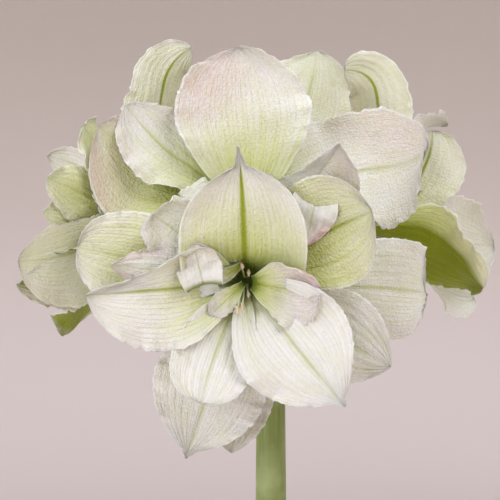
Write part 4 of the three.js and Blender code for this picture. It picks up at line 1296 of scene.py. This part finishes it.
class AMARYLLIS_OT_add_stalk(bpy.types.Operator):
    """Adds the stalk with the five stalklets and their ovaries"""

    bl_idname = "amaryllis.add_stalk"
    bl_label = "Add Stalk"

    def execute(self, context):
        look = context.scene.amaryllis_stalk
        sheaf = Sheaf()
        closed = [(0, SCAPE_FOOT), *spline_profile(SCAPE_PROFILE, 12), *SCAPE_CROWN]

        def flute(turn, r, z):
            """Shallow flutes round the stalk, which drift as they rise."""
            slow = 0.13 * np.sin(z[0] / 37) * np.cos(2 * turn + z[0] / 90)
            return slow + 0.05 * np.cos(17 * turn + 0.4 * np.sin(z[0] / 50)), 0

        sheaf.take(*turned_points(closed, look.sides, flute))
        for flower in FLOWERS.values():
            forward = axes_of(flower["axis"])[0]
            at = np.array(flower["at"], float)
            path = bezier(
                [
                    (0, 0, UMBEL_HEIGHT - 2),
                    flower["bend"],
                    at - forward * PEDICEL_REACH,
                    at - forward * OVARY_GAP,
                ],
                PEDICEL_STEPS,
            )
            t = np.linspace(0, 1, PEDICEL_STEPS + 1)
            swell = np.exp(-((t - OVARY_PLACE) / OVARY_SPREAD) ** 2)
            radius = PEDICEL_RADIUS + (OVARY_RADIUS - PEDICEL_RADIUS) * swell
            sheaf.take(*tube_points(path, radius, PEDICEL_SIDES, 0.09 * swell))
        skin = streaked_material(
            "Waxy flower stalk", look.green, look.dark, look.bloom, (700, 700, 16), 0.42, 0.00018,
            {"Subsurface Weight": 0.15, "Subsurface Scale": 0.002, "Specular IOR Level": 0.4},
        )
        place("flower_stalk", sheaf.mesh("flower_stalk"), [skin], "stalk_skin", "stalk")
        return {"FINISHED"}


class AMARYLLIS_OT_add_leaves(bpy.types.Operator):
    """Adds the four strap leaves"""

    bl_idname = "amaryllis.add_leaves"
    bl_label = "Add Leaves"

    def execute(self, context):
        look = context.scene.amaryllis_foliage
        blade = leaf_material(look)
        for number, leaf in enumerate(LEAVES, 1):
            sheaf = Sheaf()
            axes = axes_of((0, 0, 1), (0, 1, 0))
            rows, u, v = blade_rows(axes, (0, 0, LEAF_FOOT), leaf, *LEAF_GRID, LEAF_SEED + number, crowd=1.1)
            points, faces = blade_shell(rows, look.thickness / MM, 0.35)
            sheaf.take(points, faces, lie=lie_values(u, v))
            place(
                f"strap_leaf_{number}",
                sheaf.mesh(f"strap_leaf_{number}"),
                [blade],
                "leaf_skin",
                f"leaf_{number}",
            )
        return {"FINISHED"}


class AMARYLLIS_OT_add_bracts(bpy.types.Operator):
    """Adds the two withered bracts under the blooms"""

    bl_idname = "amaryllis.add_bracts"
    bl_label = "Add Bracts"

    def execute(self, context):
        look = context.scene.amaryllis_foliage
        paper = streaked_material(
            "Dry papery bract",
            look.paper,
            linear("#8E744E"),
            linear("#D6C6A4"),
            (900, 900, 60),
            0.8,
            0.0004,
        )
        for number, bract in enumerate(SPATHES, 1):
            sheaf = Sheaf()
            axes = axes_of((0, 0, -1), (0, 1, 0))
            foot = (0, 0, SPATHE_TOP)
            rows = blade_rows(axes, foot, bract, *BRACT_GRID, BRACT_SEED + number, crowd=1.2)[0]
            points, faces = blade_shell(rows, look.bract_thickness / MM, 0.7)
            sheaf.take(points, faces)
            place(
                f"papery_bract_{number}",
                sheaf.mesh(f"papery_bract_{number}"),
                [paper],
                "dry_bract",
                f"spathe_{number}",
            )
        return {"FINISHED"}


class AMARYLLIS_OT_add_bulb(bpy.types.Operator):
    """Adds the bulb with its papery tunic"""

    bl_idname = "amaryllis.add_bulb"
    bl_label = "Add Bulb"

    def execute(self, context):
        look = context.scene.amaryllis_bulb
        outside = spline_profile([(r, BULB_BASE + z) for r, z in BULB_PROFILE], 10)
        lip = BULB_PROFILE[-1][0]
        closed = [(0, BULB_BASE)] + [tuple(p) for p in outside]
        closed += [
            (lip - 0.6, BULB_TOP + 0.5),
            (BULB_CUP_RADIUS + 0.8, BULB_TOP + 0.3),
            (BULB_CUP_RADIUS, BULB_TOP - 1),
        ]
        closed += [
            (BULB_CUP_RADIUS, BULB_CUP_FLOOR + 3),
            (BULB_CUP_RADIUS, BULB_CUP_FLOOR),
            (8, BULB_CUP_FLOOR),
            (0, BULB_CUP_FLOOR),
        ]

        def fold(turn, r, z):
            """Folds of the tunic, and its torn upper edge."""
            outer = smooth(BULB_BASE, BULB_BASE + 12, z[0]) * (r[0] > BULB_CUP_RADIUS + 0.9)
            neck = smooth(150, 176, z[0])
            lean = z[0] / 21
            rise = (
                0.28 * np.cos(23 * turn + np.sin(lean))
                + 0.16 * np.cos(41 * turn + 2 * np.sin(lean * 0.7))
            )
            rise = rise + 0.4 * np.cos(5 * turn + lean) + 0.3 * np.cos(3 * turn - 0.6 * lean)
            torn = 0.8 * np.cos(7 * turn + 1) + 0.5 * np.cos(13 * turn) if z[0] > BULB_TOP - 2 else 0 * turn
            return outer * (rise * (1 - 0.35 * neck) - 0.5), torn - 0.9 * (z[0] > BULB_TOP - 2)

        sheaf = Sheaf()
        sheaf.take(*turned_points(closed, look.sides, fold))
        scale = streaked_material(
            "Papery bulb tunic", look.tunic, look.pale, look.dark, (420, 420, 26), 0.62, 0.0009,
            {"Specular IOR Level": 0.35},
        )
        place("bulb_tunic", sheaf.mesh("bulb_tunic"), [scale], "bulb_tunic", "bulb")
        return {"FINISHED"}


class AMARYLLIS_OT_add_pot(bpy.types.Operator):
    """Adds the plain turned and glazed pot"""

    bl_idname = "amaryllis.add_pot"
    bl_label = "Add Pot"

    def execute(self, context):
        look = context.scene.amaryllis_pot
        rim = POT_HEIGHT - POT_RIM_HEIGHT

        def outside(z):
            return POT_FOOT_RADIUS + POT_SLOPE * z

        corners = [
            (0, 0, 0),
            (POT_FOOT_RADIUS - 8, 0, 0),
            (POT_FOOT_RADIUS - 1.5, 0, 0),
            (POT_FOOT_RADIUS, 1.5, 0),
            (outside(3), 3, 1),
            (outside(rim - 1), rim - 1, 1),
            (outside(rim), rim, 0),
            (outside(rim) + POT_RIM_OUT - 0.6, rim + 0.6, 0),
            (outside(rim) + POT_RIM_OUT, rim + 1.6, 0),
            (POT_TOP_RADIUS + POT_RIM_OUT, POT_HEIGHT - 1.6, 0),
            (POT_TOP_RADIUS + POT_RIM_OUT - 0.5, POT_HEIGHT - 0.5, 0),
            (POT_TOP_RADIUS + POT_RIM_OUT - 1.6, POT_HEIGHT, 0),
            (POT_TOP_RADIUS - POT_WALL + 1, POT_HEIGHT, 0),
            (POT_TOP_RADIUS - POT_WALL + 0.3, POT_HEIGHT - 0.3, 0),
            (POT_TOP_RADIUS - POT_WALL, POT_HEIGHT - 1, 0),
            (outside(POT_FLOOR) - POT_WALL, POT_FLOOR, 0),
            (0, POT_FLOOR, 0),
        ]
        line = fine_profile([(r, z, m) for r, z, m in corners], 1.6) * MM
        mesh = bpy.data.meshes.new("pot profile")
        mesh.from_pydata(
            [(r, m / MM, z) for r, z, m in line], [(k, k + 1) for k in range(len(line) - 1)], [],
        )
        glaze = glaze_material(look)
        turned = grow(
            mesh,
            turned_tree(glaze),
            {"Sides": look.sides, "Ring depth": look.ring_depth, "Ring spacing": RING_SPACING},
        )
        outward(turned)
        place("glazed_pot", turned, [], "glaze", "pot")
        return {"FINISHED"}


class AMARYLLIS_OT_add_potting_mix(bpy.types.Operator):
    """Adds the potting mix with the crumbs on its surface"""

    bl_idname = "amaryllis.add_potting_mix"
    bl_label = "Add Potting Mix"

    def execute(self, context):
        look = context.scene.amaryllis_mix

        def wall(z):
            return POT_FOOT_RADIUS + POT_SLOPE * z - POT_WALL - MIX_GAP

        collar = (
            np.interp(MIX_TOP - BULB_BASE, [z for _, z in BULB_PROFILE], [r for r, _ in BULB_PROFILE])
            + 0.8
        )
        top = [
            (wall(MIX_TOP) - 1.5, MIX_TOP - 3),
            (wall(MIX_TOP) - 8, MIX_TOP - 1),
            (collar + 8, MIX_TOP + 0.6),
            (collar, MIX_TOP),
        ]
        bed = [(r + 0.8, BULB_BASE + z) for r, z in BULB_PROFILE if BULB_BASE + z < MIX_TOP - 2]
        body = [
            (0, POT_FLOOR + MIX_GAP),
            (wall(POT_FLOOR) - 1, POT_FLOOR + MIX_GAP),
            (wall(MIX_TOP - 4), MIX_TOP - 4),
        ]
        body += [tuple(p) for p in fine_profile(top, 1.2)] + bed[::-1] + [(0, BULB_BASE - 0.8)]

        def lumps(turn, r, z):
            """Low lumps over the upper face of the mix."""
            upper = smooth(MIX_TOP - 5, MIX_TOP - 2, z[0]) * smooth(collar, collar + 2, r[0])
            rise = (
                0.5 * np.cos(9 * turn + r[0] / 3)
                + 0.4 * np.cos(23 * turn - r[0] / 2)
                + 0.4 * np.cos(5 * turn + r[0] / 7)
            )
            return 0 * turn, upper * rise * 0.7

        points, faces = turned_points(body, MIX_SIDES, lumps)
        mesh = bpy.data.meshes.new("potting mix")
        mesh.from_pydata((points * MM).tolist(), [], faces)
        mesh.polygons.foreach_set("use_smooth", np.ones(len(mesh.polygons), bool))
        peat = streaked_material(
            "Damp peat", look.peat, linear("#46301F"), linear("#1C130C"), (400, 400, 400), 0.9, 0.0012,
        )
        bark = streaked_material(
            "Bark chip", look.bark, linear("#7A5536"), linear("#38261A"), (300, 900, 300), 0.85, 0.0006,
        )
        mesh.materials.append(peat)
        inputs = {"Crumb size": look.crumb, "Density": look.density, "Lowest": (MIX_TOP - 2.6) * MM}
        place(
            "potting_mix_bed", grow(mesh, crumb_tree(peat, bark), inputs), [], "potting_mix", "potting_mix",
        )
        return {"FINISHED"}


class AMARYLLIS_OT_add_stage(bpy.types.Operator):
    """Adds the floor, the wall, the lights and the camera"""

    bl_idname = "amaryllis.add_stage"
    bl_label = "Add Stage"

    def execute(self, context):
        look = context.scene.amaryllis_stage
        scene = context.scene
        foot = look.radius / MM - COVE_RADIUS
        profile = [(0, 0), (600, 0), (foot, 0)]
        for k in range(1, COVE_STEPS + 1):
            a = math.radians(90 * k / COVE_STEPS)
            profile.append((foot + COVE_RADIUS * math.sin(a), COVE_RADIUS * (1 - math.cos(a))))
        profile.append((look.radius / MM, WALL_TOP))
        points, faces = turned_points(profile, STUDIO_SIDES)
        mesh = bpy.data.meshes.new("studio")
        mesh.from_pydata((points * MM).tolist(), [], faces)
        mesh.polygons.foreach_set("use_smooth", np.ones(len(mesh.polygons), bool))
        mesh.materials.append(self.plaster(look))
        studio = bpy.data.objects.new("studio", mesh)
        scene.collection.objects.link(studio)

        for name, (spot, aim, size, watts, tone) in LIGHTS.items():
            data = bpy.data.lights.new(name, "AREA")
            data.shape = "DISK"
            data.size = size
            data.energy = watts
            data.color = linear(tone)[:3]
            lamp = bpy.data.objects.new(name, data)
            lamp.location = spot
            lamp.rotation_euler = (Vector(aim) - Vector(spot)).to_track_quat("-Z", "Y").to_euler()
            lamp.visible_camera = False
            scene.collection.objects.link(lamp)

        world = bpy.data.worlds.new("studio light")
        world.use_nodes = True
        background = world.node_tree.nodes["Background"]
        background.inputs["Color"].default_value = linear(WORLD_TONE)
        background.inputs["Strength"].default_value = WORLD_STRENGTH
        scene.world = world

        data = bpy.data.cameras.new("camera")
        data.lens = look.lens
        camera = bpy.data.objects.new("camera", data)
        camera.location = CAMERA_PLACE
        camera.rotation_euler = (math.radians(90), 0, 0)
        scene.collection.objects.link(camera)
        scene.camera = camera
        scene.view_settings.view_transform = "Standard"
        return {"FINISHED"}

    def plaster(self, look):
        """Matt painted plaster: no gloss, a faint unevenness, and painted shade that darkens it high up."""
        material, tree, shader = new_material("Matt painted plaster", {"Roughness": 0.9})
        grain = add(tree, NOISE, sockets={"Scale": 3.0, "Detail": 2.0})
        tone = add(tree, MAP_RANGE, grain, 0.3, 0.7, 0.97, 1.03)
        # Painted shade: the wall's colour darkens from 0.1 m up to 1.3 m
        high = add(tree, SPLIT, add(tree, "ShaderNodeTexCoord", out=3), out=2)
        high = add(tree, MAP_RANGE, high, 0.1, 1.3, interpolation_type="SMOOTHSTEP")
        sides = {MIX_A: look.wall, MIX_B: look.wall_high_shade}
        colour = add(tree, MIX, high, sockets=sides, out=MIX_RESULT, data_type="RGBA")
        sides = {MIX_A: colour, MIX_B: tone}
        colour = add(tree, MIX, 1.0, sockets=sides, out=MIX_RESULT, data_type="RGBA", blend_type="MULTIPLY")
        tree.links.new(colour, shader.inputs["Base Color"])
        return material


class AMARYLLIS_PT_panel(bpy.types.Panel):
    """Lists the pieces of the amaryllis"""

    bl_label = "Amaryllis"
    bl_idname = "AMARYLLIS_PT_panel"
    bl_space_type = "VIEW_3D"
    bl_region_type = "UI"
    bl_category = "Amaryllis"

    def draw(self, context):
        for attribute, operator in STEPS:
            box = self.layout.box()
            settings = getattr(context.scene, attribute)
            for name in settings.__annotations__:
                box.prop(settings, name)
            box.operator(operator)


SETTINGS = {
    "amaryllis_blooms": BloomSettings,
    "amaryllis_stamens": StamenSettings,
    "amaryllis_stalk": StalkSettings,
    "amaryllis_foliage": FoliageSettings,
    "amaryllis_bulb": BulbSettings,
    "amaryllis_pot": PotSettings,
    "amaryllis_mix": MixSettings,
    "amaryllis_stage": StageSettings,
}
STEPS = [
    ("amaryllis_stage", "amaryllis.add_stage"),
    ("amaryllis_pot", "amaryllis.add_pot"),
    ("amaryllis_mix", "amaryllis.add_potting_mix"),
    ("amaryllis_bulb", "amaryllis.add_bulb"),
    ("amaryllis_foliage", "amaryllis.add_leaves"),
    ("amaryllis_stalk", "amaryllis.add_stalk"),
    ("amaryllis_foliage", "amaryllis.add_bracts"),
    ("amaryllis_blooms", "amaryllis.add_blooms"),
    ("amaryllis_stamens", "amaryllis.add_stamens"),
]
OPERATORS = [
    AMARYLLIS_OT_add_stage,
    AMARYLLIS_OT_add_pot,
    AMARYLLIS_OT_add_potting_mix,
    AMARYLLIS_OT_add_bulb,
    AMARYLLIS_OT_add_leaves,
    AMARYLLIS_OT_add_stalk,
    AMARYLLIS_OT_add_bracts,
    AMARYLLIS_OT_add_blooms,
    AMARYLLIS_OT_add_stamens,
]


def register():
    """Adds the settings, the operators and the panel to Blender."""
    for name, kind in SETTINGS.items():
        bpy.utils.register_class(kind)
        setattr(bpy.types.Scene, name, bpy.props.PointerProperty(type=kind))
    for kind in OPERATORS:
        bpy.utils.register_class(kind)
    bpy.utils.register_class(AMARYLLIS_PT_panel)


def unregister():
    """Takes them away again."""
    bpy.utils.unregister_class(AMARYLLIS_PT_panel)
    for kind in reversed(OPERATORS):
        bpy.utils.unregister_class(kind)
    for name, kind in reversed(SETTINGS.items()):
        delattr(bpy.types.Scene, name)
        bpy.utils.unregister_class(kind)


def main():
    register()
    for _, operator in STEPS:
        group, name = operator.split(".")
        if getattr(getattr(bpy.ops, group), name)() != {"FINISHED"}:
            raise RuntimeError(f"{operator} did not finish")


if __name__ == "__main__":
    main()
